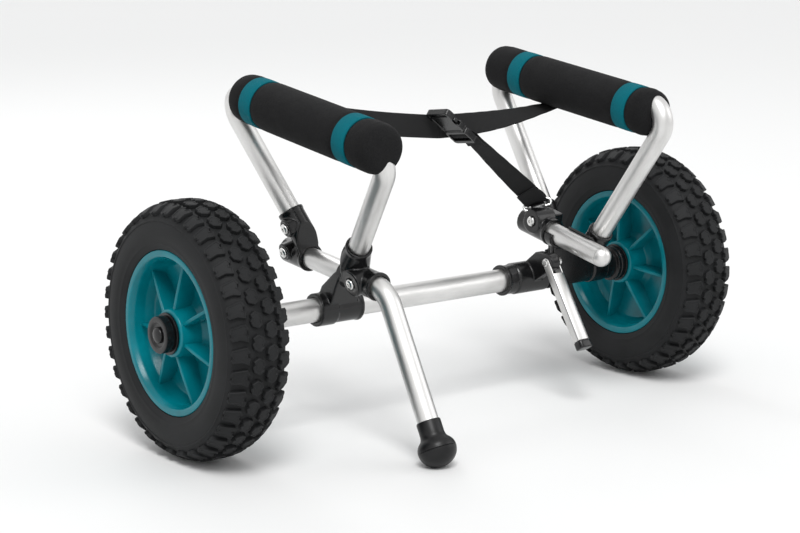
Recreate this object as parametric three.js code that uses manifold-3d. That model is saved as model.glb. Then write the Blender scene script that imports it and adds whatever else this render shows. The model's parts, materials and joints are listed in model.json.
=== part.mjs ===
// A kayak cart: an axle tube between two foam-filled wheels, and two U-shaped side frames whose
// foam pads carry the hull. The left lower tube bends down into a stand leg with a rubber foot.
// Millimetres, +Z up. +X is the right wheel's side and -Y the front, where the stand leg is.

import * as THREE from "three";
import { mergeVertices } from "three/addons/utils/BufferGeometryUtils.js";
import Module from "manifold-3d";

const wasm = await Module();
wasm.setup();

// Clearances shared by every piece
const gap = 0.3;
const overrun = 2;
const weld = 1e-4;

// How many flats a round shape gets
const tubeSides = 12;
const boreSides = 8;
const bendSteps = 5;
const wireBendSteps = 3;
const roundSides = 16;
const smallSides = 8;
const filletSteps = 2;

// Axle
const axleRadius = 12.5;
const axleWall = 1.8;
const insertLength = 18;
const boltRadius = 4;

// Wheels
const wheelCentre = 298;
const tyreRadius = 130;
const tyreHalfWidth = 34.5;
const beadHalfWidth = 26.5;
const beadGap = 0.6;
const treadDepth = 4.5;
const shoulder = { drop: 14, halfWidth: 31.5, crownHalfWidth: 15, toBulge: 8 };
const treadPitches = 16;
const sidesPerPitch = 2;
const centreBlock = { row: 7.6, length: 34, width: 12.4, point: 6 };
const shoulderBlock = { row: 23, length: 27, width: 15, waist: 8, lean: 30, drop: 5.2 };

const rim = {
  radius: 82.5,
  halfWidth: 30,
  lip: 3,
  seatRadius: 76.5,
  barrelWall: 3,
  web: 3,
  fillet: 6,
  ribs: 7,
  ribThickness: 4.2,
  ribTaper: 9,
  sides: 26,
};
const hub = { radius: 24, halfLength: 29, taper: 1.5 };
const bush = { wall: 3, flangeRadius: 21, flange: 2.5, length: 24 };
const ribPhase = { left: 150, right: 84 };

// What holds each wheel on the axle
const endCap = { radius: 18.5, thickness: 10, dish: 2, rimWidth: 5 };
const axleHead = { radius: 8, height: 4.5 };
const domeShare = { across: 0.75, up: 0.82 };
const spacer = { radius: 19.5, neckRadius: 16.5, flange: 9, length: 23.5 };

// Side frames: a U of round tube, whose plane stands on the lower tube's own axis
const tubeRadius = 11;
const tubeWall = 1.6;
const pivotY = -7;
const bendRadius = 20.5;
const sleeveWall = 2.9;
const leftPivot = { x: -129, z: 41.5, lean: -16.7, tilt: 5.5 };
const rightPivot = { x: 164.5, z: 47.8, lean: 0, tilt: 10.9 };
const leftU = {
  offset: 0,
  corners: { rear: [154, 172], front: [-142.5, 163] },
  feet: { rear: [50.5, 24], front: [-39.5, 24] },
  ends: { rear: 24, front: 22 },
  foam: { rear: [154, 172], front: [-149, 162] },
};
const rightU = {
  offset: 25.5,
  corners: { rear: [167.6, 141.9], front: [-131.8, 179.7] },
  feet: { rear: [48.7, 14], front: [-54.9, 23.8] },
  ends: { rear: -6, front: -7.5 },
  foam: { rear: [163.9, 145.3], front: [-135.3, 167.5] },
};

// Foam pads and their woven bands
const pad = { radius: 25, rounding: 13, crown: 0.6 };
const leftPad = { front: -134, rear: 111, frontBand: -87, rearBand: 74 };
const rightPad = { front: -108, rear: 158, frontBand: -71, rearBand: 101 };
const band = { width: 20, depth: 1.2, proud: 0.5 };

// Stand leg
const standCorner = 84.8;
const standAngle = 35;
const standBend = 35;
const standRear = 80;
const foot = {
  bulb: 20,
  cuff: 13.6,
  cuffTop: 27,
  crease: 1.2,
  shoulder: 8,
  flat: 0.6,
  tubeDepth: 10,
};

// Mouldings on the left frame
const elbow = { rim: 49.8, low: 10, front: 26, back: 88, bolt: [57.5, 38], clamp: [71, 7], rounding: 7 };
const elbowScallop = { y: 25, z: -24, radius: 40 };
const lug = { radius: 9.5, face: 17 };
const button = { radius: 5.6, height: 2.6, socket: 2, socketDepth: 1.4, shank: 2.5 };
const socket = { rim: 40, front: 82, split: 33 };
const socketScallop = { y: -92, z: -21, radius: 35.4 };
const boss = { back: 47.7, rise: 3.6, radius: 14.3, face: 17 };

// Brackets on the axle
const collarRadius = 16.5;
const collarStep = 1;
const collarRing = 20;
const leftCollar = { from: -153, to: -100 };
const rightCollar = { from: 161, to: 242 };
const bracketRear = 14;
const gusset = { front: 15, rear: 12, inset: 9 };
const saddle = { front: 14.3, rear: 2.3, cut: 3, relief: 5 };

// Mouldings on the right frame
const rightTube = { front: 82, rear: 40, plug: 10 };
const joint = {
  rim: 14.3,
  mouth: 2,
  back: 47,
  rounding: 7,
  bossAt: 19.8,
  bossRise: 7.3,
  bossRadius: 13.5,
  face: 14.8,
};
const ringEye = { x: 0.5, y: 28, z: 19, radius: 5, length: 16, turn: -30, rise: 22, lean: 35 };
const cradle = { rim: 15.7, front: 58, rear: 22, open: 2 };

// Lever beside the right frame
const leverCollar = { from: 96, to: 156, ringAt: 112 };
const lever = {
  x: 136,
  pivotY: -38,
  pivotZ: 21.5,
  angle: 33.2,
  width: 15,
  depth: 10,
  wall: 1.6,
  length: 94,
  webStart: 15,
  knuckle: 9.5,
  pin: 2.2,
  head: 4.2,
  headHeight: 2,
  reach: 5.5,
  chinShare: 0.7,
};
const tip = { length: 9, proud: 0.7, tongue: 12, rounding: 4 };

// Tie-down webbing and its buckle
const webbing = { width: 25, thickness: 2 };
const buckle = {
  width: 33,
  height: 7,
  bodyLength: 33,
  plugLength: 21,
  wall: 1.4,
  bar: 5,
  prong: 4.5,
  prongReach: 23,
  window: 12,
  rounding: 5,
};
const buckleAt = { x: 30.1, y: -2, z: 172.5, drop: 39.5, roll: 171 };
const strap = { leftAt: 30, rightAt: 66, clear: 3, steps: 6 };
const strapSag = { left: 2, right: 4, lower: 0.5 };
const wire = { radius: 1.6, halfWidth: 15.5, height: 7.5, bend: 3.5 };

const black = { color: 0x141415, roughness: 0.35, metalness: 0 };
const silver = { color: 0xc9c8c5, roughness: 0.32, metalness: 1 };
const zinc = { color: 0xd8d8d6, roughness: 0.25, metalness: 1 };
const teal = { color: 0x087a90, roughness: 0.35, metalness: 0 };
const tyreBlack = { color: 0x2a2b2d, roughness: 0.8, metalness: 0 };
const foamBlack = { color: 0x1a1a1b, roughness: 0.9, metalness: 0 };
const bandTeal = { color: 0x0d6f80, roughness: 0.9, metalness: 0 };
const webbingBlack = { color: 0x161617, roughness: 0.8, metalness: 0 };

const X = new THREE.Vector3(1, 0, 0);
const Y = new THREE.Vector3(0, 1, 0);
const Z = new THREE.Vector3(0, 0, 1);
const radians = THREE.MathUtils.degToRad;
const vec = (x, y, z) => new THREE.Vector3(x, y, z);

// Solids, joins and cuts
function solidOf(geometry) {
  const loose = geometry.index ? geometry.toNonIndexed() : geometry;
  const bare = new THREE.BufferGeometry().setAttribute("position", loose.getAttribute("position"));
  const merged = mergeVertices(bare, weld);
  const index = merged.index.array;
  const kept = [];
  for (let i = 0; i < index.length; i += 3) {
    const [a, b, c] = [index[i], index[i + 1], index[i + 2]];
    if (a !== b && b !== c && c !== a) kept.push(a, b, c);
  }
  return new wasm.Manifold(
    new wasm.Mesh({
      numProp: 3,
      vertProperties: merged.attributes.position.array,
      triVerts: new Uint32Array(kept),
    }),
  );
}

function geometryOf(solid) {
  const mesh = solid.getMesh();
  const geometry = new THREE.BufferGeometry();
  geometry.setAttribute("position", new THREE.BufferAttribute(new Float32Array(mesh.vertProperties), 3));
  geometry.setIndex(new THREE.BufferAttribute(new Uint32Array(mesh.triVerts), 1));
  return geometry;
}

const join = (...geometries) => geometries.map(solidOf).reduce((all, next) => all.add(next));
const cut = (solid, ...geometries) =>
  geometries.map(solidOf).reduce((left, tool) => left.subtract(tool), solid);
const keep = (solid, geometry) => solid.intersect(solidOf(geometry));

function part(name, shape, look) {
  const geometry = shape.isBufferGeometry ? shape : geometryOf(shape);
  const mesh = new THREE.Mesh(geometry, new THREE.MeshStandardMaterial(look));
  mesh.name = name;
  return mesh;
}

// Places a shape made about the origin: its +Z goes along the given direction
function aim(geometry, at, direction, side) {
  const z = direction.clone().normalize();
  const x = (side || (Math.abs(z.x) > Math.abs(z.z) ? Y : X)).clone();
  x.addScaledVector(z, -x.dot(z)).normalize();
  const y = z.clone().cross(x);
  return geometry.applyMatrix4(new THREE.Matrix4().makeBasis(x, y, z).setPosition(at));
}

// A turned shape about +Z, from [radius, height] points that run up the outside
function turned(points, sides = roundSides) {
  const closed = points[0][0] > 0 ? [...points, points[0]] : points;
  const profile = closed.map(([r, h]) => new THREE.Vector2(r, h));
  return new THREE.LatheGeometry(profile, sides).rotateX(Math.PI / 2);
}

const rod = (radius, from, to, sides = roundSides) => {
  const length = from.distanceTo(to);
  const shape = turned([[0, 0], [radius, 0], [radius, length], [0, length]], sides);
  return aim(shape, from, to.clone().sub(from));
};

const ring = (outer, inner, from, to, sides = roundSides) =>
  turned([[outer, from], [outer, to], [inner, to], [inner, from]], sides);

const box = (low, high) =>
  new THREE.BoxGeometry(high.x - low.x, high.y - low.y, high.z - low.z).translate(
    (low.x + high.x) / 2,
    (low.y + high.y) / 2,
    (low.z + high.z) / 2,
  );

// A plate: an outline in two axes, thick along the third
function plate(points, u, v, at, thickness) {
  const shape = new THREE.Shape(points.map(([a, b]) => new THREE.Vector2(a, b)));
  const geometry = new THREE.ExtrudeGeometry(shape, { depth: thickness, bevelEnabled: false });
  const matrix = new THREE.Matrix4().makeBasis(u, v, u.clone().cross(v)).setPosition(at);
  return geometry.applyMatrix4(matrix);
}

// Points of an arc in a plane, both ends included
function arc(centreA, centreB, radius, from, to, steps = filletSteps) {
  return Array.from({ length: steps + 1 }, (_, i) => {
    const angle = radians(from + ((to - from) * i) / steps);
    return [centreA + radius * Math.cos(angle), centreB + radius * Math.sin(angle)];
  });
}

// A centre line of straight runs joined by round bends
class BentLine extends THREE.Curve {
  constructor(corners, radius, bends = bendSteps) {
    super();
    this.bends = bends;
    this.stations = [{ point: corners[0], tangent: corners[1].clone().sub(corners[0]).normalize() }];
    for (let i = 1; i < corners.length - 1; i++) {
      this.addBend(corners[i - 1], corners[i], corners[i + 1], radius);
    }
    const last = corners.at(-1);
    this.stations.push({ point: last, tangent: last.clone().sub(corners.at(-2)).normalize() });
  }
  addBend(before, corner, after, radius) {
    const arrive = corner.clone().sub(before).normalize();
    const leave = after.clone().sub(corner).normalize();
    const turn = arrive.angleTo(leave);
    const inward = leave.clone().sub(arrive).normalize();
    const centre = corner.clone().addScaledVector(inward, radius / Math.cos(turn / 2));
    const axis = arrive.clone().cross(leave).normalize();
    const start = corner.clone().addScaledVector(arrive, -radius * Math.tan(turn / 2)).sub(centre);
    for (let i = 0; i <= this.bends; i++) {
      const angle = (turn * i) / this.bends;
      this.stations.push({
        point: start.clone().applyAxisAngle(axis, angle).add(centre),
        tangent: arrive.clone().applyAxisAngle(axis, angle),
      });
    }
  }
  get steps() {
    return this.stations.length - 1;
  }
  getPointAt(t) {
    return this.stations[Math.round(t * this.steps)].point.clone();
  }
  getTangentAt(t) {
    return this.stations[Math.round(t * this.steps)].tangent.clone();
  }
}

const circle = (radius, sides) =>
  Array.from({ length: sides }, (_, i) => {
    const angle = (2 * Math.PI * i) / sides;
    return new THREE.Vector2(radius * Math.cos(angle), radius * Math.sin(angle));
  });

function sweep(line, outer, inner = 0, sides = tubeSides) {
  const shape = new THREE.Shape(circle(outer, sides));
  if (inner) shape.holes.push(new THREE.Path(circle(inner, boreSides)));
  return new THREE.ExtrudeGeometry(shape, { steps: line.steps, extrudePath: line, bevelEnabled: false });
}

// A ribbon of webbing through stations of a middle point and the direction of its width
function ribbon(stations, width, thickness) {
  const corners = stations.map(({ at, across }, i) => {
    const ahead = stations[Math.min(i + 1, stations.length - 1)].at;
    const behind = stations[Math.max(i - 1, 0)].at;
    const run = ahead.clone().sub(behind).normalize();
    const wide = across.clone().normalize();
    const thick = run.clone().cross(wide).normalize();
    return [[-1, -1], [1, -1], [1, 1], [-1, 1]].map(([a, b]) =>
      at.clone().addScaledVector(wide, (a * width) / 2).addScaledVector(thick, (b * thickness) / 2),
    );
  });
  const triangles = [];
  const quad = (a, b, c, d) => triangles.push(a, b, c, a, c, d);
  corners.slice(1).forEach((next, i) => {
    const here = corners[i];
    here.forEach((corner, k) => quad(corner, here[(k + 1) % 4], next[(k + 1) % 4], next[k]));
  });
  quad(...corners[0].slice().reverse());
  quad(...corners.at(-1));
  return new THREE.BufferGeometry().setFromPoints(triangles);
}

// Wheels, made about their own axis along +Z with the outboard face up
function tyreBase() {
  const shoulderRadius = tyreRadius - shoulder.drop;
  const bulgeRadius = shoulderRadius - shoulder.toBulge;
  const side = [
    [rim.seatRadius + beadGap, beadHalfWidth - gap],
    [rim.radius + beadGap, beadHalfWidth - gap],
    [rim.radius + beadGap + rim.lip, rim.halfWidth + gap],
    [(rim.radius + bulgeRadius) / 2, tyreHalfWidth],
    [bulgeRadius, tyreHalfWidth],
    [shoulderRadius, shoulder.halfWidth],
    [tyreRadius - treadDepth, shoulder.crownHalfWidth],
  ];
  const lower = side.map(([r, h]) => [r, -h]);
  return turned([...lower, ...side.reverse()], treadPitches * sidesPerPitch);
}

// A tread block: its outline lies in the tyre's surface, leaning towards its own sidewall
function block(outline, side, at, lean, angle) {
  const radial = vec(Math.cos(radians(lean)), 0, side * Math.sin(radians(lean)));
  const across = vec(-side * Math.sin(radians(lean)), 0, Math.cos(radians(lean)));
  const mirrored = outline.map(([a, b]) => [a, side * b]);
  const depth = treadDepth * 2;
  const root = vec(at[0], 0, side * at[1]).addScaledVector(radial, -depth);
  return plate(mirrored, Y, across, root, depth).rotateZ(radians(angle));
}

function tyre() {
  const { length, width, point } = centreBlock;
  const centreOutline = [
    [-length / 2, 0],
    [-length / 2 + point, -width / 2],
    [length / 2 - point, -width / 2],
    [length / 2, 0],
    [length / 2 - point, width / 2],
    [-length / 2 + point, width / 2],
  ];
  const wide = shoulderBlock.length / 2;
  const tall = shoulderBlock.width / 2;
  const shoulderOutline = [
    [-wide, -tall],
    [wide, -tall],
    [wide - shoulderBlock.waist / 2, tall],
    [-wide + shoulderBlock.waist / 2, tall],
  ];
  const pitch = 360 / treadPitches;
  const centreAt = [Math.sqrt(tyreRadius ** 2 - (length / 2) ** 2), centreBlock.row];
  const shoulderAt = [tyreRadius - shoulderBlock.drop, shoulderBlock.row];
  const blocks = [];
  for (let i = 0; i < treadPitches; i++) {
    for (const side of [-1, 1]) {
      const phase = (side > 0 ? i : i + 1 / 2) * pitch;
      blocks.push(block(centreOutline, side, centreAt, 0, phase));
      blocks.push(block(shoulderOutline, side, shoulderAt, shoulderBlock.lean, phase + pitch / 2));
    }
  }
  return blocks.map(solidOf).reduce((all, next) => all.add(next), solidOf(tyreBase()));
}

function rimSolid(phase) {
  const bore = axleRadius + gap + bush.wall + gap;
  const inner = rim.seatRadius - rim.barrelWall;
  const half = [
    [rim.seatRadius, beadHalfWidth],
    [rim.radius, beadHalfWidth],
    [rim.radius, rim.halfWidth],
    [rim.seatRadius, rim.halfWidth],
    [inner, rim.halfWidth - 2 * rim.lip],
    [inner - rim.fillet, rim.web],
    [hub.radius + rim.fillet, rim.web],
    [hub.radius + hub.taper, rim.web + rim.fillet],
    [hub.radius, hub.halfLength - hub.taper],
    [hub.radius - hub.taper, hub.halfLength],
    [bore, hub.halfLength],
  ];
  const mirrored = half.map(([r, h]) => [r, -h]).reverse();
  const shell = turned([...half, ...mirrored], rim.sides);
  const root = hub.radius - hub.taper;
  const end = rim.seatRadius - rim.barrelWall / 2;
  const tall = hub.halfLength - 2 * hub.taper;
  const low = tall - rim.ribTaper;
  const outline = [[root, -tall], [end, -low], [end, low], [root, tall]];
  const ribs = Array.from({ length: rim.ribs }, (_, i) => {
    const rib = plate(outline, X, Z, vec(0, rim.ribThickness / 2, 0), rim.ribThickness);
    return rib.rotateZ(radians(phase + (360 * i) / rim.ribs));
  });
  return join(shell, ...ribs);
}

function bushSolid() {
  const inner = axleRadius + gap;
  const outer = inner + bush.wall;
  const face = hub.halfLength + gap;
  return turned(
    [
      [outer, face - bush.length],
      [outer, face],
      [bush.flangeRadius, face],
      [bush.flangeRadius, face + bush.flange],
      [inner, face + bush.flange],
      [inner, face - bush.length],
    ],
    roundSides,
  );
}

// The stack outboard of a wheel: bush flange, tube end, cap, bolt
const flangeFace = hub.halfLength + gap + bush.flange;
const axleHalf = wheelCentre + flangeFace;
const capInner = axleHalf + gap;
const capOuter = capInner + endCap.thickness;

function endCapShape() {
  return turned([
    [endCap.radius, capInner],
    [endCap.radius, capOuter - endCap.dish],
    [endCap.radius - endCap.dish, capOuter],
    [endCap.radius - endCap.rimWidth, capOuter],
    [endCap.radius - endCap.rimWidth - endCap.dish, capOuter - endCap.dish],
    [boltRadius + gap, capOuter - endCap.dish],
    [boltRadius + gap, capInner],
  ]);
}

function axleBoltShape() {
  const seat = capOuter - endCap.dish + gap;
  return turned(
    [
      [0, axleHalf - insertLength],
      [boltRadius, axleHalf - insertLength],
      [boltRadius, seat],
      [axleHead.radius, seat],
      [axleHead.radius, seat + axleHead.height / 3],
      [axleHead.radius * domeShare.across, seat + axleHead.height * domeShare.up],
      [0, seat + axleHead.height],
    ],
    smallSides,
  );
}

function spacerShape() {
  const to = wheelCentre - flangeFace - gap;
  const from = to - spacer.length;
  const bore = axleRadius + gap;
  return turned([
    [spacer.neckRadius, from],
    [spacer.neckRadius, to - spacer.flange],
    [spacer.radius, to - spacer.flange],
    [spacer.radius, to],
    [bore, to],
    [bore, from],
  ]);
}

// Builds what both wheels share; side is -1 on the left and 1 on the right
function wheelSide(name, side) {
  const phase = 90 + side * ribPhase[name];
  const outboard = new THREE.Group();
  outboard.rotation.y = (side * Math.PI) / 2;
  const wheel = new THREE.Group();
  wheel.position.z = wheelCentre;
  const inner = part(name + "_inner_hub_bush", bushSolid(), black);
  inner.rotation.x = Math.PI;
  wheel.add(
    part(name + "_tyre", tyre(), tyreBlack),
    part(name + "_rim", rimSolid(phase), teal),
    part(name + "_outer_hub_bush", bushSolid(), black),
    inner,
  );
  const insert = ring(axleRadius - axleWall - gap, boltRadius + gap, axleHalf - insertLength, axleHalf - gap);
  outboard.add(
    wheel,
    part(name + "_axle_insert", insert, black),
    part(name + "_end_cap", endCapShape(), black),
    part(name + "_axle_bolt", axleBoltShape(), zinc),
    part(name + "_hub_spacer", spacerShape(), black),
  );
  return outboard;
}

// The frame's own axes: x' across, y' back along the lower tube, z' up in the plane of the U
const tubeBore = tubeRadius + gap;
const sleeveRadius = tubeBore + sleeveWall;

// Each U: its two top corners, its legs and the line that its foam follows
function frameShape({ offset, corners, feet, ends, foam }) {
  const at = ([y, z]) => vec(offset, y, z);
  const leg = (end, height) => {
    const [low, high] = [at(feet[end]), at(corners[end])];
    return low.clone().lerp(high, (height - low.z) / (high.z - low.z));
  };
  const line = new BentLine(
    [leg("rear", ends.rear), at(corners.rear), at(corners.front), leg("front", ends.front)],
    bendRadius,
  );
  const along = at(foam.rear).sub(at(foam.front)).normalize();
  const middle = at(foam.front).addScaledVector(along, -at(foam.front).y / along.y);
  return { line, leg, along, middle };
}

// Foam: a round pad whose crown is slightly fuller in the middle, drawn in under each band
function padShape(frame, { front, rear, frontBand, rearBand }) {
  const { radius, rounding, crown } = pad;
  const low = radius - band.depth;
  const groove = (middle) => [
    [radius, middle - band.width / 2 - band.depth],
    [low, middle - band.width / 2],
    [low, middle + band.width / 2],
    [radius, middle + band.width / 2 + band.depth],
  ];
  const profile = [
    [0, front],
    ...arc(radius - rounding, front + rounding, rounding, -90, 0),
    ...groove(frontBand),
    [radius + crown, (frontBand + rearBand) / 2],
    ...groove(rearBand),
    ...arc(radius - rounding, rear - rounding, rounding, 0, 90),
    [0, rear],
  ];
  const foam = aim(turned(profile), frame.middle, frame.along);
  return cut(solidOf(foam), sweep(frame.line, tubeBore));
}

function bandShape(frame, middle) {
  const inner = pad.radius - band.depth + gap;
  const half = band.width / 2 - gap;
  const shape = ring(pad.radius + band.proud, inner, middle - half, middle + half);
  return aim(shape, frame.middle, frame.along);
}

// A button-head bolt facing -X, with its head's seat at the given face
function buttonBolt(at, depth) {
  const { radius, height, socket: across, socketDepth, shank } = button;
  const profile = [
    [0, -depth],
    [shank, -depth],
    [shank, gap],
    [radius, gap],
    [radius, gap + height / 4],
    [radius * domeShare.across, gap + height * domeShare.up],
    [across, gap + height],
    [across, gap + height - socketDepth],
    [0, gap + height - socketDepth],
  ];
  return aim(turned(profile, smallSides), at, X.clone().negate());
}

function boltHole(at, depth) {
  const [mouth, end] = [at.clone().addScaledVector(X, -overrun), at.clone().addScaledVector(X, depth)];
  return rod(button.shank + gap, mouth, end, smallSides);
}

const frameParts = (name, frame, padEnds) => [
  part(name + "_frame_tube", sweep(frame.line, tubeRadius, tubeRadius - tubeWall), silver),
  part(name + "_foam_pad", padShape(frame, padEnds), foamBlack),
  part(name + "_rear_band", bandShape(frame, padEnds.rearBand), bandTeal),
  part(name + "_front_band", bandShape(frame, padEnds.frontBand), bandTeal),
];

// A leg's sleeve from its rim down past the tube's end
const legSleeve = (frame, end, rimHeight, low) =>
  rod(sleeveRadius, frame.leg(end, low), frame.leg(end, rimHeight));

// A rod along the lower tube's axis, and one whose rear end is rounded
const alongTube = (radius, from, to) => rod(radius, vec(0, from, 0), vec(0, to, 0));
const roundedAlongTube = (radius, from, to, rounding) => {
  const end = arc(radius - rounding, to - rounding, rounding, 0, 90);
  return aim(turned([[0, from], [radius, from], ...end, [0, to]]), vec(0, 0, 0), Y);
};

// A round bite out of a sleeve's mouth, its axis across the frame
const bite = ({ y, z, radius }) => {
  const side = sleeveRadius * 2;
  return rod(radius, vec(-side, y, z), vec(side, y, z), roundSides * 2);
};

function leftElbow(frame) {
  const boltAt = vec(-lug.face, ...elbow.bolt);
  const clampAt = vec(-lug.face, ...elbow.clamp);
  const body = join(
    legSleeve(frame, "rear", elbow.rim, elbow.low),
    roundedAlongTube(sleeveRadius, elbow.front, elbow.back, elbow.rounding),
    rod(lug.radius, boltAt, vec(0, ...elbow.bolt)),
    rod(lug.radius, clampAt, vec(0, ...elbow.clamp)),
  );
  const shape = cut(
    body,
    bite(elbowScallop),
    sweep(frame.line, tubeBore),
    alongTube(tubeBore, elbow.front - overrun, standRear + gap),
    boltHole(boltAt, lug.face - tubeRadius),
    boltHole(clampAt, lug.face - tubeRadius),
  );
  const depth = lug.face - tubeBore;
  return [
    part("left_elbow", shape, black),
    part("left_elbow_bolt", buttonBolt(boltAt, depth), zinc),
    part("left_elbow_clamp_bolt", buttonBolt(clampAt, depth), zinc),
  ];
}

function leftSocket(frame) {
  const bossAt = vec(-boss.face, -boss.back, boss.rise);
  const body = join(
    legSleeve(frame, "front", socket.rim, elbow.low),
    alongTube(sleeveRadius, -socket.front, -socket.split - gap),
    rod(boss.radius, bossAt, vec(0, -boss.back, boss.rise)),
  );
  const wide = sleeveRadius * 3;
  const behind = box(vec(-wide, -socket.split - gap, -wide), vec(wide, wide, wide));
  const shape = cut(
    body,
    behind,
    bite(socketScallop),
    sweep(frame.line, tubeBore),
    alongTube(tubeBore, -socket.front - overrun, 0),
    boltHole(bossAt, boss.face - tubeRadius),
  );
  return [
    part("left_leg_socket", shape, black),
    part("left_socket_bolt", buttonBolt(bossAt, boss.face - tubeBore), zinc),
  ];
}

// Right frame: its U stands outboard of the lower tube, and the mouldings bridge the two
function rightJoint(frame) {
  const x = rightU.offset;
  const bossAt = vec(-joint.face, joint.bossAt, joint.bossRise);
  const bridge = box(
    vec(0, joint.bossAt - sleeveRadius / 2, -sleeveRadius / 2),
    vec(x, joint.back - joint.rounding, joint.bossRise + sleeveRadius / 2),
  );
  const body = join(
    legSleeve(frame, "rear", joint.rim, rightU.ends.rear - sleeveWall * 2),
    roundedAlongTube(sleeveRadius, -joint.mouth, joint.back, joint.rounding),
    rod(joint.bossRadius, bossAt, vec(tubeRadius, joint.bossAt, joint.bossRise)),
    bridge,
    rod(ringEye.radius, ringEyeAt(-1), ringEyeAt(1), smallSides),
  );
  const shape = cut(
    body,
    sweep(frame.line, tubeBore),
    alongTube(tubeBore, -joint.mouth - overrun, rightTube.rear + gap),
    boltHole(bossAt, joint.face - tubeRadius),
    rod(wire.radius + gap, ringEyeAt(-overrun), ringEyeAt(overrun), smallSides),
  );
  return [
    part("right_rear_joint", shape, black),
    part("right_joint_bolt", buttonBolt(bossAt, joint.face - tubeBore), zinc),
  ];
}

// The eye's own axes: along its bore, and the way the ring is pulled
const eyeTurn = new THREE.Euler(0, -radians(ringEye.rise), radians(ringEye.turn), "ZYX");
const eyeAlong = X.clone().applyEuler(eyeTurn);
const eyeUp = Z.clone().addScaledVector(eyeAlong, -eyeAlong.z).normalize();
const eyePull = eyeUp.applyAxisAngle(eyeAlong, radians(-ringEye.lean));
const inEye = (along, pull) =>
  vec(ringEye.x, ringEye.y, ringEye.z).addScaledVector(eyeAlong, along).addScaledVector(eyePull, pull);
const ringEyeAt = (end) => inEye((end * ringEye.length) / 2, 0);

// The wire ring: bent from one wire whose two ends meet inside the joint's eye
function strapRing() {
  const { halfWidth, height, bend, radius } = wire;
  const corners = [
    inEye(gap, 0),
    inEye(halfWidth, 0),
    inEye(halfWidth, height),
    inEye(-halfWidth, height),
    inEye(-halfWidth, 0),
    inEye(-gap, 0),
  ];
  const line = new BentLine(corners, bend, wireBendSteps);
  return part("strap_ring", sweep(line, radius, 0, smallSides), zinc);
}

function rightCradle(frame) {
  const x = rightU.offset;
  const wide = sleeveRadius * 3;
  const halfRing = keep(
    solidOf(alongTube(sleeveRadius, -cradle.front, -cradle.rear)),
    box(vec(cradle.open, -wide * 2, -wide), vec(wide, wide, wide)),
  );
  const body = halfRing.add(solidOf(legSleeve(frame, "front", cradle.rim, rightU.ends.front - sleeveWall)));
  const behind = box(vec(-wide, -saddle.front - gap, -wide), vec(x + wide, wide, wide));
  const bore = alongTube(tubeBore, -cradle.front - overrun, 0);
  return part("right_leg_socket", cut(body, behind, sweep(frame.line, tubeBore), bore), black);
}

// A collar round the axle, one stretch of it a little fatter
const collar = (from, to, ringFrom, ringTo) =>
  geometryOf(
    join(
      rod(collarRadius, vec(from, 0, 0), vec(to, 0, 0)),
      rod(collarRadius + collarStep, vec(ringFrom, 0, 0), vec(ringTo, 0, 0)),
    ),
  );

const axleBore = (from, to) =>
  rod(axleRadius + gap, vec(from - overrun, 0, 0), vec(to + overrun, 0, 0), roundSides);

// Turns a shape made in a frame's tilted axes into the cart's
function tilted(geometry, pivot) {
  return geometry.rotateX(radians(pivot.tilt)).translate(pivot.x, pivotY, pivot.z);
}

// The part of a bracket that rises from its collar to the lower tube
function gussetPlate(outline, rear, depth) {
  return plate(outline, X, Z, vec(0, rear, 0), depth);
}

function leftBracket() {
  const { from, to } = leftCollar;
  const { x, z } = leftPivot;
  const outline = [
    [from + gusset.inset, 0],
    [to - gusset.inset, 0],
    [to - gusset.inset, collarRadius / 2],
    [x + sleeveRadius, z],
    [x, z + sleeveRadius],
    [x - sleeveRadius, z],
    [from + gusset.inset, collarRadius / 2],
  ];
  const body = join(
    collar(from, to, from, from + collarRing),
    gussetPlate(outline, gusset.rear, gusset.rear + gusset.front),
    tilted(alongTube(sleeveRadius, -socket.split, bracketRear), leftPivot),
  );
  const bore = tilted(alongTube(tubeBore, -socket.front, standRear), leftPivot);
  return part("left_axle_bracket", cut(body, bore, axleBore(from, to)), black);
}

function rightBracket() {
  const { from, to } = rightCollar;
  const { x, z } = rightPivot;
  const rear = pivotY - saddle.rear;
  const front = pivotY - saddle.front;
  const outline = [
    [from, 0],
    [to - collarRing, 0],
    [to - collarRing, collarRadius / 2],
    [x + sleeveRadius, z - tubeRadius / 2],
    [x - sleeveRadius / 2, z - tubeRadius / 2],
    [from, collarRadius],
  ];
  const wide = sleeveRadius * 2;
  const seat = keep(
    solidOf(alongTube(sleeveRadius, -saddle.front, -saddle.rear)),
    box(vec(-wide, -wide, -wide), vec(wide, 0, saddle.cut)),
  );
  const body = join(
    collar(from, to, to - collarRing, to),
    gussetPlate(outline, rear - gap, rear - gap - front - saddle.relief),
    tilted(geometryOf(seat), rightPivot),
  );
  const bore = tilted(alongTube(tubeBore, -wide, wide), rightPivot);
  return part("right_axle_bracket", cut(body, bore, axleBore(from, to)), black);
}

// Lever: a channel with two ears on a knuckle of its bracket
const leverDown = vec(0, -Math.sin(radians(lever.angle)), -Math.cos(radians(lever.angle)));
const leverFront = vec(0, -Math.cos(radians(lever.angle)), Math.sin(radians(lever.angle)));
const leverPivot = vec(lever.x, lever.pivotY, lever.pivotZ);
const pinHole = () => {
  const end = (side) => leverPivot.clone().setX(lever.x + side * lever.width);
  return rod(lever.pin + gap, end(-1), end(1), smallSides);
};

function leverBracket() {
  const { from, to, ringAt } = leverCollar;
  const half = lever.width / 2 - lever.wall - gap;
  const { pivotY: y, pivotZ: z, knuckle } = lever;
  const at = (x) => leverPivot.clone().setX(lever.x + x);
  const outline = [
    [y - knuckle * lever.chinShare, z - knuckle * lever.chinShare],
    [0, -collarRadius * lever.chinShare],
    [0, collarRadius],
    [y / 2, z + knuckle],
    [y, z + knuckle],
  ];
  const web = plate(outline, Y, Z, vec(lever.x - half, 0, 0), half * 2);
  const body = join(collar(from, to, ringAt, to), rod(knuckle, at(-half), at(half)), web);
  return part("lever_bracket", cut(body, pinHole(), axleBore(from, to)), black);
}

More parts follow.
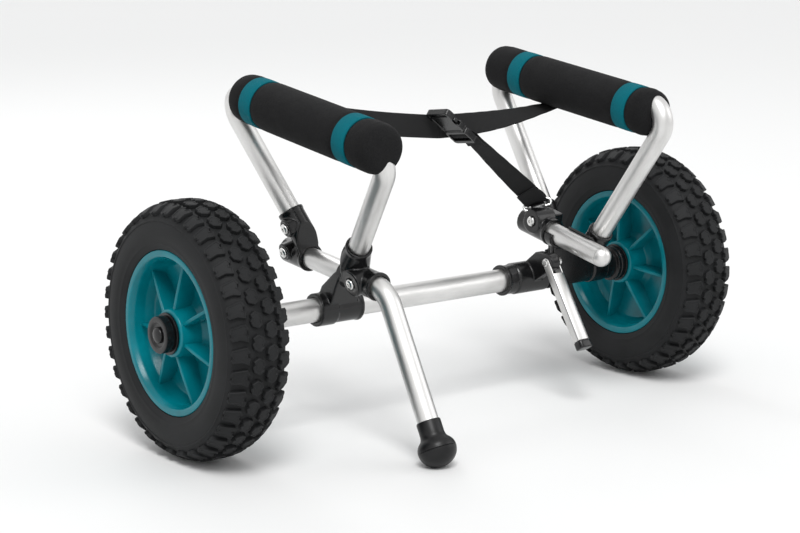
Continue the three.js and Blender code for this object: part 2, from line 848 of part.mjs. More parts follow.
function leverChannel() {
  const { width, depth, wall, length, webStart } = lever;
  const round = depth / 2;
  const side = [...arc(0, 0, round, -90, -270, 2 * filletSteps), [length, round], [length, -round]];
  const ear = (x) => plate(side, leverDown, leverFront, leverPivot.clone().setX(lever.x + x), wall);
  const outline = [
    [-width / 2, round - wall],
    [-width / 2, round],
    [-width / 4, round + wall],
    [width / 4, round + wall],
    [width / 2, round],
    [width / 2, round - wall],
  ];
  const top = leverPivot.clone().addScaledVector(leverDown, webStart);
  const front = plate(outline, X, leverFront, top, length - webStart);
  return part("lever_channel", cut(join(ear(-width / 2 + wall), ear(width / 2), front), pinHole()), silver);
}

function leverTip() {
  const { width, depth, wall, length } = lever;
  const cap = { w: width / 2 + tip.proud, low: -depth / 2 - tip.proud, high: depth / 2 + wall + tip.proud };
  const r = tip.rounding;
  const outline = [
    ...arc(cap.w - r, cap.high - r, r, 0, 90),
    ...arc(-cap.w + r, cap.high - r, r, 90, 180),
    ...arc(-cap.w + r, cap.low + r, r, 180, 270),
    ...arc(cap.w - r, cap.low + r, r, 270, 360),
  ];
  const along = (distance) => leverPivot.clone().addScaledVector(leverDown, distance);
  const half = width / 2 - wall - gap;
  const inside = depth / 2 - wall - gap;
  const section = [[-half, -depth / 2], [half, -depth / 2], [half, inside], [-half, inside]];
  const tongue = plate(section, X, leverFront, along(length - tip.tongue), tip.tongue + tip.length / 2);
  const head = plate(outline, X, leverFront, along(length + gap), tip.length);
  return part("lever_end_cap", join(head, tongue), black);
}

function leverPin() {
  const { pin, head, headHeight, width, reach } = lever;
  const start = leverPivot.clone().setX(lever.x - width / 2 - gap);
  const through = width + 2 * gap;
  const profile = [
    [0, -headHeight],
    [head - headHeight / 2, -headHeight],
    [head, -headHeight / 2],
    [head, 0],
    [pin, 0],
    [pin, through],
    [head, through],
    [head, through + reach],
    [0, through + reach],
  ];
  return part("lever_pivot_bolt", aim(turned(profile, smallSides), start, X), zinc);
}

// Stand tube in the vertical plane of the left lower tube
const legDrop = vec(0, -Math.sin(radians(standAngle)), -Math.cos(radians(standAngle)));
const cornerZ = leftPivot.z - standCorner * Math.sin(radians(leftPivot.tilt));
const bulbHeight = -tyreRadius - foot.flat + foot.bulb;
const standRun = (cornerZ - bulbHeight) / Math.cos(radians(standAngle - leftPivot.tilt));

function standTube() {
  const corner = vec(0, -standCorner, 0);
  const end = corner.clone().addScaledVector(legDrop, standRun - foot.tubeDepth - gap);
  const line = new BentLine([vec(0, standRear, 0), corner, end], standBend);
  return part("stand_tube", tilted(sweep(line, tubeRadius, tubeRadius - tubeWall), leftPivot), silver);
}

function rubberFoot() {
  const { bulb, cuff, cuffTop, crease, shoulder, tubeDepth } = foot;
  const rise = Math.asin(shoulder / bulb);
  const neck = bulb * Math.cos(rise);
  const profile = [
    [0, -bulb],
    ...arc(0, 0, bulb, -90, THREE.MathUtils.radToDeg(rise), 3 * filletSteps).slice(1),
    [neck - crease * 2, shoulder + crease / 2],
    [cuff, shoulder + crease * 2],
    [cuff, cuffTop - crease],
    [cuff - crease / 2, cuffTop],
    [tubeBore, cuffTop],
    [tubeBore, tubeDepth],
    [0, tubeDepth],
  ];
  const centre = vec(0, -standCorner, 0).addScaledVector(legDrop, standRun);
  const shape = tilted(aim(turned(profile), centre, legDrop.clone().negate()), leftPivot);
  const wide = standRun * 2;
  const floor = box(vec(-wide, -wide, -wide), vec(wide, wide, -tyreRadius));
  return part("foot", cut(solidOf(shape), floor), black);
}

// Right lower tube: straight, closed by a domed plug
function rightLowerTube() {
  const inner = tubeRadius - tubeWall;
  const tube = aim(ring(tubeRadius, inner, -rightTube.front, rightTube.rear, tubeSides), vec(0, 0, 0), Y);
  const profile = [
    [0, -rightTube.plug],
    [inner - gap, -rightTube.plug],
    [inner - gap, gap],
    ...arc(0, gap, tubeRadius, 0, 90, 2 * filletSteps).slice(0, -1),
    [0, gap + tubeRadius],
  ];
  const plug = aim(turned(profile, tubeSides), vec(0, -rightTube.front, 0), Y.clone().negate());
  return [
    part("right_lower_tube", tilted(tube, rightPivot), silver),
    part("right_tube_plug", tilted(plug, rightPivot), silver),
  ];
}

// Buckle, made about its middle with its length along X and its width along Y
function roundedBox(lengthFrom, lengthTo, width, height, r) {
  const w = width / 2;
  const outline = [
    ...arc(lengthTo - r, w - r, r, 0, 90),
    ...arc(lengthFrom + r, w - r, r, 90, 180),
    ...arc(lengthFrom + r, -w + r, r, 180, 270),
    ...arc(lengthTo - r, -w + r, r, 270, 360),
  ];
  return plate(outline, X, Y, vec(0, 0, -height / 2), height);
}

function buckleBody() {
  const { width, height, bodyLength, wall, bar, window: slot, rounding } = buckle;
  const roof = height / 2 - wall;
  const cheek = width / 2 - wall * 2;
  const side = -bodyLength / 2;
  return cut(
    solidOf(roundedBox(-bodyLength, 0, width, height, rounding)),
    box(vec(-bodyLength + bar * 2, -cheek, -roof), vec(overrun * 2, cheek, roof)),
    box(vec(side - slot / 2, -width, -roof), vec(side + slot / 2, width, roof)),
  );
}

function bucklePlug() {
  const { width, height, plugLength, wall, bar, prong, prongReach, rounding } = buckle;
  const inside = width / 2 - wall * 2 - gap;
  const thick = height / 2 - wall - gap;
  const reach = (from, to) => box(vec(-prongReach, from, -thick), vec(bar, to, thick));
  return join(
    roundedBox(gap, plugLength, width, height, rounding),
    reach(inside - prong, inside),
    reach(-inside, -inside + prong),
    reach(-prong / 2, prong / 2),
  );
}

// A swivelling frame's axes: pivot, then tilt, then lean
function frameGroup(pivot) {
  const tiltGroup = new THREE.Group();
  tiltGroup.position.set(pivot.x, pivotY, pivot.z);
  tiltGroup.rotation.x = radians(pivot.tilt);
  const leanGroup = new THREE.Group();
  leanGroup.rotation.y = radians(pivot.lean);
  tiltGroup.add(leanGroup);
  return { tiltGroup, leanGroup };
}

// A point of a frame's own axes, in the cart's
function fromFrame(pivot, point) {
  const { tiltGroup, leanGroup } = frameGroup(pivot);
  tiltGroup.updateMatrixWorld(true);
  return point.clone().applyMatrix4(leanGroup.matrixWorld);
}

// Webbing: a sagging, turning ribbon between two ends, each with the direction of its width
function webbingRun(name, from, to, sag) {
  const stations = Array.from({ length: strap.steps + 1 }, (_, i) => {
    const share = i / strap.steps;
    const at = from.at.clone().lerp(to.at, share);
    at.z -= sag * Math.sin(Math.PI * share);
    return { at, across: from.across.clone().lerp(to.across, share).normalize() };
  });
  return part(name, ribbon(stations, webbing.width, webbing.thickness), webbingBlack);
}

// The two upper straps meet behind the buckle; the lower one runs from it to the ring
function webbingParts(buckleGroup, leftFrame, rightFrame) {
  buckleGroup.updateMatrixWorld(true);
  const atBuckle = (x, y) => vec(x, y, 0).applyMatrix4(buckleGroup.matrixWorld);
  const across = Y.clone().transformDirection(buckleGroup.matrixWorld);
  const clear = pad.radius + pad.crown + gap + webbing.thickness / 2;
  const onPad = (pivot, { middle, along }, distance) =>
    fromFrame(pivot, middle.clone().addScaledVector(along, distance));
  const behind = atBuckle(
    (buckle.plugLength - buckle.bodyLength) / 2,
    -buckle.width / 2 - strap.clear - webbing.thickness / 2,
  );
  const onEdge = X.clone().cross(across.clone().negate()).normalize();
  const left = onPad(leftPivot, leftFrame, strap.leftAt);
  left.addScaledVector(behind.clone().sub(left).normalize(), clear);
  const right = onPad(rightPivot, rightFrame, strap.rightAt).addScaledVector(Z, -clear);
  const flat = rightFrame.along.clone().applyAxisAngle(X, radians(rightPivot.tilt));
  const bar = fromFrame(rightPivot, inEye(0, wire.height));
  const barAlong = eyeAlong.clone().applyAxisAngle(X, radians(rightPivot.tilt));
  const lower = atBuckle(buckle.plugLength + gap, 0);
  bar.addScaledVector(lower.clone().sub(bar).normalize(), wire.radius + 2 * gap);
  const beside = (side) => behind.clone().addScaledVector(X, (side * gap) / 2);
  return [
    webbingRun("strap_left", { at: left, across: onEdge }, { at: beside(-1), across: onEdge }, strapSag.left),
    webbingRun("strap_right", { at: beside(1), across: onEdge }, { at: right, across: flat }, strapSag.right),
    webbingRun("strap_lower", { at: lower, across }, { at: bar, across: barAlong }, strapSag.lower),
  ];
}

const cart = new THREE.Group();
const axle = ring(axleRadius, axleRadius - axleWall, -axleHalf, axleHalf).rotateY(Math.PI / 2);
cart.add(
  part("axle_tube", axle, silver),
  wheelSide("left", -1),
  wheelSide("right", 1),
  leftBracket(),
  rightBracket(),
  leverBracket(),
  leverChannel(),
  leverTip(),
  leverPin(),
  standTube(),
  rubberFoot(),
  ...rightLowerTube(),
);

const leftShape = frameShape(leftU);
const leftFrame = frameGroup(leftPivot);
leftFrame.leanGroup.add(
  ...frameParts("left", leftShape, leftPad),
  ...leftElbow(leftShape),
  ...leftSocket(leftShape),
);

const rightShape = frameShape(rightU);
const rightFrame = frameGroup(rightPivot);
rightFrame.leanGroup.add(
  ...frameParts("right", rightShape, rightPad),
  ...rightJoint(rightShape),
  rightCradle(rightShape),
  strapRing(),
);
cart.add(leftFrame.tiltGroup, rightFrame.tiltGroup);

const buckleGroup = new THREE.Group();
buckleGroup.position.set(buckleAt.x, buckleAt.y, buckleAt.z);
buckleGroup.rotation.set(radians(buckleAt.roll), radians(buckleAt.drop), 0, "YXZ");
buckleGroup.add(part("buckle_body", buckleBody(), black), part("buckle_plug", bucklePlug(), black));
cart.add(...webbingParts(buckleGroup, leftShape, rightShape), buckleGroup);

// The origin is on the floor, below the middle of the cart
const bounds = new THREE.Box3().setFromObject(cart, true);
cart.position.set(-(bounds.min.x + bounds.max.x) / 2, -(bounds.min.y + bounds.max.y) / 2, -bounds.min.z);

export default cart;
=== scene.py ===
# A kayak cart, dressed around its CAD frame: fine tubes, mouldings, tyres, foam and webbing.
# Shapes are written in millimetres about the middle of the axle and placed by the frame.

import json
import math

import bmesh
import bpy
from mathutils import Matrix, Vector

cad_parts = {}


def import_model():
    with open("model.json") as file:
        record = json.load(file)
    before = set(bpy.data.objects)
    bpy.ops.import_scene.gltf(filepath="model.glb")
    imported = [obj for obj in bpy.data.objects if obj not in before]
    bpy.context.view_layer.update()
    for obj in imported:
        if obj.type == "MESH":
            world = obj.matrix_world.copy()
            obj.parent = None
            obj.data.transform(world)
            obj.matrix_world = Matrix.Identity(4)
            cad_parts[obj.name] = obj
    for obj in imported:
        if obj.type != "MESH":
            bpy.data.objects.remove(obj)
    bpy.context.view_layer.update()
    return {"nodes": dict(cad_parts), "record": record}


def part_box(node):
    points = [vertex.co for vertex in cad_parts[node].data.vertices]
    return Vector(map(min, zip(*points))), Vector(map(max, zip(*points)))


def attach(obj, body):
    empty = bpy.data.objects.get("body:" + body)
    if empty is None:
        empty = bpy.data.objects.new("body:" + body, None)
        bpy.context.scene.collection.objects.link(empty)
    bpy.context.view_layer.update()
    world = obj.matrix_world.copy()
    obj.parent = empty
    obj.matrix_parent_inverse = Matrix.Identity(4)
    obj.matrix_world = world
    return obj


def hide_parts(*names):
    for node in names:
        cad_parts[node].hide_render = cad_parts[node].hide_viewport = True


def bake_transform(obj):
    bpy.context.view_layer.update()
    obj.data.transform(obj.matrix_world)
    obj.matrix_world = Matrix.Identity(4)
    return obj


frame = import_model()

MM = 0.001
X = Vector((1, 0, 0))
Y = Vector((0, 1, 0))
Z = Vector((0, 0, 1))

low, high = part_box("axle_tube")
AXLE = (low + high) / 2
CART = Matrix.Translation(AXLE) @ Matrix.Scale(MM, 4)
IN_CART = Matrix.Identity(4)

# Shared sizes, in millimetres. GAP is the play between pieces that fit together.
GAP = 0.3
TUBE = 11.0
TUBE_WALL = 1.6
BORE = TUBE + GAP
SLEEVE = BORE + 2.9
AXLE_R = 12.5
AXLE_BORE = AXLE_R + GAP
AXLE_END = 329.8
WHEEL_R = 130
WHEEL_X = 298.0
PIVOT_Y = -7.0

# Each side frame: its pivot and turns, then (y, z) points in its own axes. These are the corners of its U,
# a low point of each leg, and two points of the foam's line. "end" has the height at which each leg stops.
LEFT = {
    "x": -129, "z": 41.5, "lean": math.radians(-16.7), "tilt": math.radians(5.5), "offset": 0.0,
    "corner": {"rear": (154, 172), "front": (-142.5, 163)},
    "foot": {"rear": (50.5, 24), "front": (-39.5, 24)},
    "end": {"rear": 37, "front": 22},
    "foam": {"rear": (154, 172), "front": (-149, 162)},
}
RIGHT = {
    "x": 164.5, "z": 47.8, "lean": 0.0, "tilt": math.radians(10.9), "offset": 25.5,
    "corner": {"rear": (167.6, 141.9), "front": (-131.8, 179.7)},
    "foot": {"rear": (48.7, 14), "front": (-54.9, 23.8)},
    "end": {"rear": -6, "front": -7.5},
    "foam": {"rear": (163.9, 145.3), "front": (-135.3, 167.5)},
}


def low_matrix(side):
    """From the axes of the lower tube under a frame to the cart's, in millimetres."""
    pivot = Matrix.Translation((side["x"], PIVOT_Y, side["z"]))
    return pivot @ Matrix.Rotation(side["tilt"], 4, "X")


LOW_LEFT = low_matrix(LEFT)
LOW_RIGHT = low_matrix(RIGHT)
IN_LEFT = LOW_LEFT @ Matrix.Rotation(LEFT["lean"], 4, "Y")
IN_RIGHT = LOW_RIGHT @ Matrix.Rotation(RIGHT["lean"], 4, "Y")


# Mesh helpers
ON_AXIS = 1e-6


def to_mesh(name, bm, sharp=32):
    bmesh.ops.recalc_face_normals(bm, faces=bm.faces)
    mesh = bpy.data.meshes.new(name)
    bm.to_mesh(mesh)
    bm.free()
    smooth(mesh, sharp)
    return mesh


def smooth(mesh, sharp):
    """Shades a mesh smoothly, apart from edges that turn more than some degrees."""
    mesh.polygons.foreach_set("use_smooth", [True] * len(mesh.polygons))
    mesh.set_sharp_from_angle(angle=math.radians(sharp))


def linked(name, data):
    ob = bpy.data.objects.new(name, data)
    bpy.context.scene.collection.objects.link(ob)
    return ob


def place(name, bm, matrix, sharp):
    """A shape as an object at its place in the cart."""
    mesh = to_mesh(name, bm, sharp)
    mesh.transform(CART @ matrix)
    mesh.update()
    return linked(name, mesh)


def applied(ob):
    """Applies the object's modifiers to its mesh."""
    bpy.context.view_layer.update()
    graph = bpy.context.evaluated_depsgraph_get()
    mesh = bpy.data.meshes.new_from_object(ob.evaluated_get(graph))
    ob.modifiers.clear()
    ob.data = mesh


def cut_by(ob, bm, overlaps=False):
    """Cuts a shape out of an object; overlaps allows for shapes that run into each other."""
    tool = linked("tool", to_mesh("tool", bm))
    cutting = ob.modifiers.new("cut", "BOOLEAN")
    cutting.operation = "DIFFERENCE"
    cutting.solver = "EXACT"
    cutting.use_self = overlaps
    cutting.object = tool
    applied(ob)
    bpy.data.objects.remove(tool)


def into_place(ob, matrix, sharp):
    """Moves an object's mesh to its place in the cart."""
    ob.data.transform(CART @ matrix)
    smooth(ob.data, sharp)
    return ob


def moved(bm, matrix):
    bm.transform(matrix)
    return bm


def aimed(bm, at, direction):
    """Turns a shape so that its +Z runs in a direction, and moves it."""
    z = direction.normalized()
    x = Y if abs(z.x) > abs(z.z) else X
    x = (x - z * x.dot(z)).normalized()
    turn = Matrix((x, z.cross(x), z)).transposed().to_4x4()
    return moved(bm, Matrix.Translation(at) @ turn)


def arc(start, stop, step, wide, tall, x=0, y=0):
    """Points of a round or oval arc about (x, y), for a range of degrees."""
    angles = [math.radians(d) for d in range(start, stop, step)]
    return [(x + wide * math.cos(a), y + tall * math.sin(a)) for a in angles]


def joined(*parts):
    """Puts several bmeshes into the first."""
    whole = parts[0]
    for other in parts[1:]:
        mesh = bpy.data.meshes.new("join")
        other.to_mesh(mesh)
        other.free()
        whole.from_mesh(mesh)
        bpy.data.meshes.remove(mesh)
    return whole


def walls(bm, one, two):
    """A band of faces between two closed rows of points."""
    for i in range(len(one)):
        j = (i + 1) % len(one)
        bm.faces.new([one[i], one[j], two[j], two[i]])


def laid(bm, uv, corners, flat, wide):
    """A face, and where its corners lie on the flat material; a step across it is so many mm wide."""
    face = bm.faces.new(corners)
    for loop, (u, v) in zip(face.loops, flat):
        loop[uv].uv = (u * wide * MM, v * MM)


def distances(stations):
    """How far each station is along the line."""
    runs = [0.0]
    for (p, _), (q, _) in zip(stations, stations[1:]):
        runs.append(runs[-1] + (q - p).length)
    return runs


def lathe(profile, sides=96):
    """A turned shape about +Z from (radius, height) points that run up the outside."""
    bm = bmesh.new()
    uv = bm.loops.layers.uv.new("UVMap")
    angles = [2 * math.pi * i / sides for i in range(sides)]
    rings = []
    for r, h in profile:
        spokes = angles if r > ON_AXIS else [0]
        rings.append([bm.verts.new((r * math.cos(a), r * math.sin(a), h)) for a in spokes])
    run = 0.0
    pairs = list(zip(rings, rings[1:], profile, profile[1:]))
    if profile[0][0] > ON_AXIS:
        pairs.append((rings[-1], rings[0], profile[-1], profile[0]))
    for one, two, p, q in pairs:
        step = math.hypot(q[0] - p[0], q[1] - p[1])
        for i in range(sides):
            j = (i + 1) % sides
            if len(one) == 1:
                corners = [one[0], two[j], two[i]]
                flat = [(i + 0.5, run), (i + 1, run + step), (i, run + step)]
            elif len(two) == 1:
                corners = [one[i], one[j], two[0]]
                flat = [(i, run), (i + 1, run), (i + 0.5, run + step)]
            else:
                corners = [one[i], one[j], two[j], two[i]]
                flat = [(i, run), (i + 1, run), (i + 1, run + step), (i, run + step)]
            laid(bm, uv, corners, flat, 2 * math.pi * max(p[0], q[0]) / sides)
        run += step
    return bm


def rounded(outline, radius, steps=3):
    """Rounds the corners of a closed outline, each over less than half of the edges that meet there."""
    points = [Vector(p) for p in outline]
    out = []
    for i, corner in enumerate(points):
        before = points[i - 1] - corner
        after = points[(i + 1) % len(points)] - corner
        cut = min(radius, before.length * 0.45, after.length * 0.45)
        a = corner + before.normalized() * cut
        b = corner + after.normalized() * cut
        for k in range(steps + 1):
            t = k / steps
            out.append(tuple(a * (1 - t) ** 2 + corner * (2 * t * (1 - t)) + b * t**2))
    return out


def rod(radius, start, end):
    a, b = Vector(start), Vector(end)
    length = (b - a).length
    return aimed(lathe([(0, 0), (radius, 0), (radius, length), (0, length)], 64), a, b - a)


def box(lowest, highest):
    bm = bmesh.new()
    bmesh.ops.create_cube(bm, size=1)
    a, b = Vector(lowest), Vector(highest)
    bm.transform(Matrix.Translation((a + b) / 2) @ Matrix.Diagonal((*(b - a), 1)))
    return bm


def plate(outline, u, v, at, depth):
    """An outline in two axes, thick along the third."""
    bm = bmesh.new()
    normal = u.cross(v)
    bottom = [bm.verts.new(Vector(at) + u * a + v * b) for a, b in outline]
    top = [bm.verts.new(vert.co + normal * depth) for vert in bottom]
    bm.faces.new(list(reversed(bottom)))
    bm.faces.new(top)
    walls(bm, bottom, top)
    return bm


def bent(corners, radius, steps=14):
    """Stations (point, tangent) of straight runs joined by round bends."""
    corners = [Vector(c) for c in corners]
    stations = [(corners[0], (corners[1] - corners[0]).normalized())]
    for before, corner, after in zip(corners, corners[1:], corners[2:]):
        arrive = (corner - before).normalized()
        leave = (after - corner).normalized()
        turn = arrive.angle(leave)
        inward = (leave - arrive).normalized()
        centre = corner + inward * (radius / math.cos(turn / 2))
        axis = arrive.cross(leave).normalized()
        start = corner - arrive * (radius * math.tan(turn / 2)) - centre
        for i in range(steps + 1):
            spin = Matrix.Rotation(turn * i / steps, 3, axis)
            stations.append((spin @ start + centre, spin @ arrive))
    stations.append((corners[-1], (corners[-1] - corners[-2]).normalized()))
    return stations


def sweep(stations, radius, wall=0.0, sides=48, side=X):
    """A round tube through stations, open at its ends where it has a wall."""
    bm = bmesh.new()
    uv = bm.loops.layers.uv.new("UVMap")
    radii = [radius, radius - wall] if wall else [radius]
    shells = [[] for _ in radii]
    runs = distances(stations)
    angles = [2 * math.pi * i / sides for i in range(sides)]
    across = side
    for point, tangent in stations:
        across = (across - tangent * across.dot(tangent)).normalized()
        other = tangent.cross(across)
        spokes = [across * math.cos(a) + other * math.sin(a) for a in angles]
        for shell, r in zip(shells, radii):
            shell.append([bm.verts.new(point + spoke * r) for spoke in spokes])
    for shell, r in zip(shells, radii):
        pitch = 2 * math.pi * r / sides
        for (one, two), (v0, v1) in zip(zip(shell, shell[1:]), zip(runs, runs[1:])):
            for i in range(sides):
                j = (i + 1) % sides
                flat = [(i, v0), (i + 1, v0), (i + 1, v1), (i, v1)]
                laid(bm, uv, [one[i], one[j], two[j], two[i]], flat, pitch)
    for end in (0, -1):
        if wall:
            walls(bm, shells[0][end], shells[1][end])
        else:
            bm.faces.new(shells[0][end])
    return bm


def moulding(name, adds, cuts, matrix, body, node, look="black_moulding", voxel=0.9, passes=5):
    """A moulding: shapes run together, bores cut, then all its edges eased."""
    ob = linked(name, to_mesh(name, joined(*adds)))
    cut_by(ob, joined(*cuts), overlaps=True)
    remesh = ob.modifiers.new("remesh", "REMESH")
    remesh.mode = "VOXEL"
    remesh.voxel_size = voxel
    ease = ob.modifiers.new("ease", "SMOOTH")
    ease.factor = 0.5
    ease.iterations = passes
    applied(ob)
    finish(into_place(ob, matrix, 60), look, body, node)


def bevelled(name, bm, matrix, width):
    ob = linked(name, to_mesh(name, bm))
    bevel = ob.modifiers.new("bevel", "BEVEL")
    bevel.width = width
    bevel.segments = 3
    bevel.limit_method = "ANGLE"
    bevel.angle_limit = math.radians(30)
    applied(ob)
    return into_place(ob, matrix, 40)


# Materials
def material(name, color, roughness, metallic=0.0, **sockets):
    mat = bpy.data.materials.new(name)
    mat.use_nodes = True
    shader = mat.node_tree.nodes["Principled BSDF"]
    shader.inputs["Base Color"].default_value = (*color, 1)
    shader.inputs["Roughness"].default_value = roughness
    shader.inputs["Metallic"].default_value = metallic
    for key, value in sockets.items():
        shader.inputs[key.replace("_", " ")].default_value = value
    return mat


class Nodes:
    """Short names for the nodes that the materials share."""

    def __init__(self, mat):
        self.tree = mat.node_tree
        self.shader = self.tree.nodes["Principled BSDF"]

    def set(self, socket, source):
        self.tree.links.new(source, self.shader.inputs[socket])

    def new(self, kind, inputs, **settings):
        """A node, its inputs linked to a socket or given a value."""
        node = self.tree.nodes.new(kind)
        for key, value in settings.items():
            setattr(node, key, value)
        for key, value in inputs.items():
            if isinstance(value, bpy.types.NodeSocket):
                self.tree.links.new(value, node.inputs[key])
            else:
                node.inputs[key].default_value = value
        return node

    def where(self, kind="Object", scale=(1, 1, 1)):
        coords = self.new("ShaderNodeTexCoord", {}).outputs[kind]
        return self.new("ShaderNodeMapping", {"Vector": coords, "Scale": scale}).outputs["Vector"]

    def noise(self, vector, scale, detail=3, rough=0.5):
        inputs = {"Vector": vector, "Scale": scale, "Detail": detail, "Roughness": rough}
        return self.new("ShaderNodeTexNoise", inputs).outputs["Fac"]

    def ranged(self, value, low, high, start=0):
        inputs = {"Value": value, "From Min": start, "To Min": low, "To Max": high}
        return self.new("ShaderNodeMapRange", inputs).outputs["Result"]

    def math(self, operation, *values):
        return self.new("ShaderNodeMath", dict(enumerate(values)), operation=operation).outputs[0]

    def ramp(self, value, dark, light, start=0.3, end=0.7):
        node = self.new("ShaderNodeValToRGB", {"Fac": value})
        for element, position, color in zip(node.color_ramp.elements, (start, end), (dark, light)):
            element.position = position
            element.color = (*color, 1)
        return node.outputs["Color"]

    def bump(self, height, strength, distance, **before):
        inputs = {"Height": height, "Strength": strength, "Distance": distance, **before}
        return self.new("ShaderNodeBump", inputs).outputs["Normal"]


def black(value):
    """A near-black with a trace of blue."""
    return (value, value, value + 0.0005)


def mottled(name, dark, light, roughness, patch, grain, bump, depth, **sockets):
    """A surface with large soft patches, and grain in its bump. patch and grain are scales per metre."""
    mat = material(name, light, roughness, **sockets)
    n = Nodes(mat)
    at = n.where()
    patches = n.noise(at, patch)
    specks = n.noise(at, grain, 4, 0.6)
    n.set("Base Color", n.ramp(patches, dark, light))
    n.set("Roughness", n.ranged(patches, roughness - 0.06, roughness + 0.08))
    n.set("Normal", n.bump(specks, bump, depth))
    return mat


def satin_tube():
    """Satin aluminium with fine lines along the tube and faint handling marks."""
    mat = material("satin_tube", (0.7, 0.695, 0.685), 0.36, 1.0)
    n = Nodes(mat)
    lines = n.noise(n.where("UV", (1500, 18, 1)), 1.0, 4, 0.65)
    marks = n.noise(n.where("UV", (60, 14, 1)), 1.0, 5, 0.6)
    n.set("Base Color", n.ramp(marks, (0.6, 0.595, 0.585), (0.75, 0.745, 0.735), 0.25, 0.6))
    both = n.math("ADD", n.math("MULTIPLY", lines, 0.55), n.math("MULTIPLY", marks, 0.45))
    n.set("Roughness", n.ranged(both, 0.28, 0.5))
    n.set("Normal", n.bump(lines, 0.12, 0.0002))
    return mat


def woven(name, dark, light, pitch, tilt):
    """Webbing: ribs of yarn that run across its width, with a twill step between them, and painted shade in
    the hollows between yarns.
    """
    mat = material(name, light, 0.85, Specular_IOR_Level=0.15)
    n = Nodes(mat)
    coords = n.new("ShaderNodeTexCoord", {})
    split = n.new("ShaderNodeSeparateXYZ", {0: coords.outputs["UV"]})
    turn = 2 * math.pi / pitch
    along = n.math("MULTIPLY", split.outputs["Y"], turn)
    across = n.math("MULTIPLY", split.outputs["X"], turn * tilt)
    twill = n.math("SINE", n.math("ADD", along, across))
    yarn = n.math("SINE", n.math("MULTIPLY", split.outputs["X"], turn * 1.4))
    weave = n.ranged(n.math("MULTIPLY", twill, yarn), 0, 1, start=-1)
    fuzz = n.noise(n.where("UV"), 2600, 3, 0.7)
    height = n.math("ADD", weave, n.math("MULTIPLY", fuzz, 0.5))
    # Painted shade: the weave's low parts are coloured darker, as shade in the hollows between yarns; the
    # fuzz adds random tone.
    n.set("Base Color", n.ramp(height, dark, light, 0.25, 1.1))
    n.set("Normal", n.bump(height, 0.6, 0.0004))
    return mat


def foam_material():
    """Foam: fine closed pores over soft unevenness."""
    mat = material("foam", black(0.008), 0.85, Specular_IOR_Level=0.15)
    n = Nodes(mat)
    at = n.where()
    pores = n.new("ShaderNodeTexVoronoi", {"Vector": at, "Scale": 1500})
    soft = n.noise(at, 45, 4, 0.6)
    specks = n.noise(at, 900, 2, 0.6)
    n.set("Base Color", n.ramp(specks, black(0.004), black(0.013)))
    n.set("Roughness", n.ranged(soft, 0.72, 0.92))
    fine = n.bump(pores.outputs["Distance"], 0.35, 0.0005)
    n.set("Normal", n.bump(soft, 0.25, 0.002, Normal=fine))
    return mat


LOOKS = {
    "satin_tube": satin_tube(),
    "foam": foam_material(),
    "woven_teal": woven("woven_teal", (0.0, 0.06, 0.08), (0.0, 0.17, 0.215), pitch=0.0012, tilt=0.0),
    "webbing": woven("webbing", black(0.006), black(0.028), pitch=0.0016, tilt=1.0),
}
for look, values in {
    "black_moulding": dict(
        dark=black(0.004), light=black(0.0085), roughness=0.24, patch=60, grain=900, bump=0.12, depth=0.0003,
        Specular_IOR_Level=0.35, Coat_Weight=0.15, Coat_Roughness=0.15,
    ),
    "black_plastic": dict(
        dark=black(0.005), light=black(0.01), roughness=0.24, patch=60, grain=1200, bump=0.15, depth=0.0003,
        Specular_IOR_Level=0.4,
    ),
    "zinc": dict(
        dark=(0.62, 0.62, 0.61), light=(0.8, 0.8, 0.79), roughness=0.22, patch=200, grain=2500, bump=0.1,
        depth=0.0001, metallic=1.0,
    ),
    "rim_teal": dict(
        dark=(0.0, 0.14, 0.17), light=(0.0, 0.2, 0.245), roughness=0.22, patch=30, grain=700, bump=0.1,
        depth=0.0004, Specular_IOR_Level=0.3,
    ),
    "tyre": dict(
        dark=(0.0085, 0.009, 0.0095), light=(0.0155, 0.016, 0.017), roughness=0.6, patch=28, grain=1100,
        bump=0.3, depth=0.0005, Specular_IOR_Level=0.2,
    ),
    "foot_rubber": dict(
        dark=black(0.004), light=black(0.009), roughness=0.38, patch=70, grain=1500, bump=0.2, depth=0.0003,
        Specular_IOR_Level=0.3,
    ),
}.items():
    LOOKS[look] = mottled(look, **values)


def finish(ob, look, body, *nodes):
    """Gives a piece its look, the nodes that it stands for and the body that it rides on."""
    ob.data.materials.clear()
    ob.data.materials.append(LOOKS[look])
    if nodes:
        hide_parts(*nodes)
    if body:
        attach(ob, body)


def piece(name, bm, matrix, look, body, node, sharp=32):
    finish(place(name, bm, matrix, sharp), look, body, node)


# The carried-over nodes get the same looks
for entry in frame["record"]["subparts"]:
    materials = frame["nodes"][entry["node"]].data.materials
    materials.clear()
    materials.append(LOOKS[entry["material_slot"]])


# Wheels, made about +Z with the outboard face up. The tread's floor is flat across its middle, then round.
TREAD = 4.5
FLOOR_R = WHEEL_R - TREAD
FLAT = 6.0
CROWN_R = 36.0
CROWN_EDGE = math.radians(42)
CENTRE_ROW = 7.4
SHOULDER_ROW = 23.6
PITCHES = 36
RIM_SEAT = 76.5
RIM_OUT = 82.5
RIM_HALF = 30.0
BEAD_HALF = 26.5
RIBS = 7
RIB_WALL = 3.8
RIB_PHASE = {"left": 150, "right": 84}
HUB_FACE = 29.3
BUSH_OUT = HUB_FACE + 2.5
CAP_IN = BUSH_OUT + GAP
CAP_OUT = CAP_IN + 10
CAP_WELL = CAP_OUT - 2
BOLT_R = 4
HEAD_R = 8


def crown(t):
    """A point of the tread's floor and its outward direction, at a distance from the middle."""
    side = 1 if t >= 0 else -1
    over = max(abs(t) - FLAT, 0) / CROWN_R
    h = min(abs(t), FLAT) + CROWN_R * math.sin(over)
    r = FLOOR_R - CROWN_R * (1 - math.cos(over))
    return Vector((r, side * h)), Vector((math.cos(over), side * math.sin(over)))


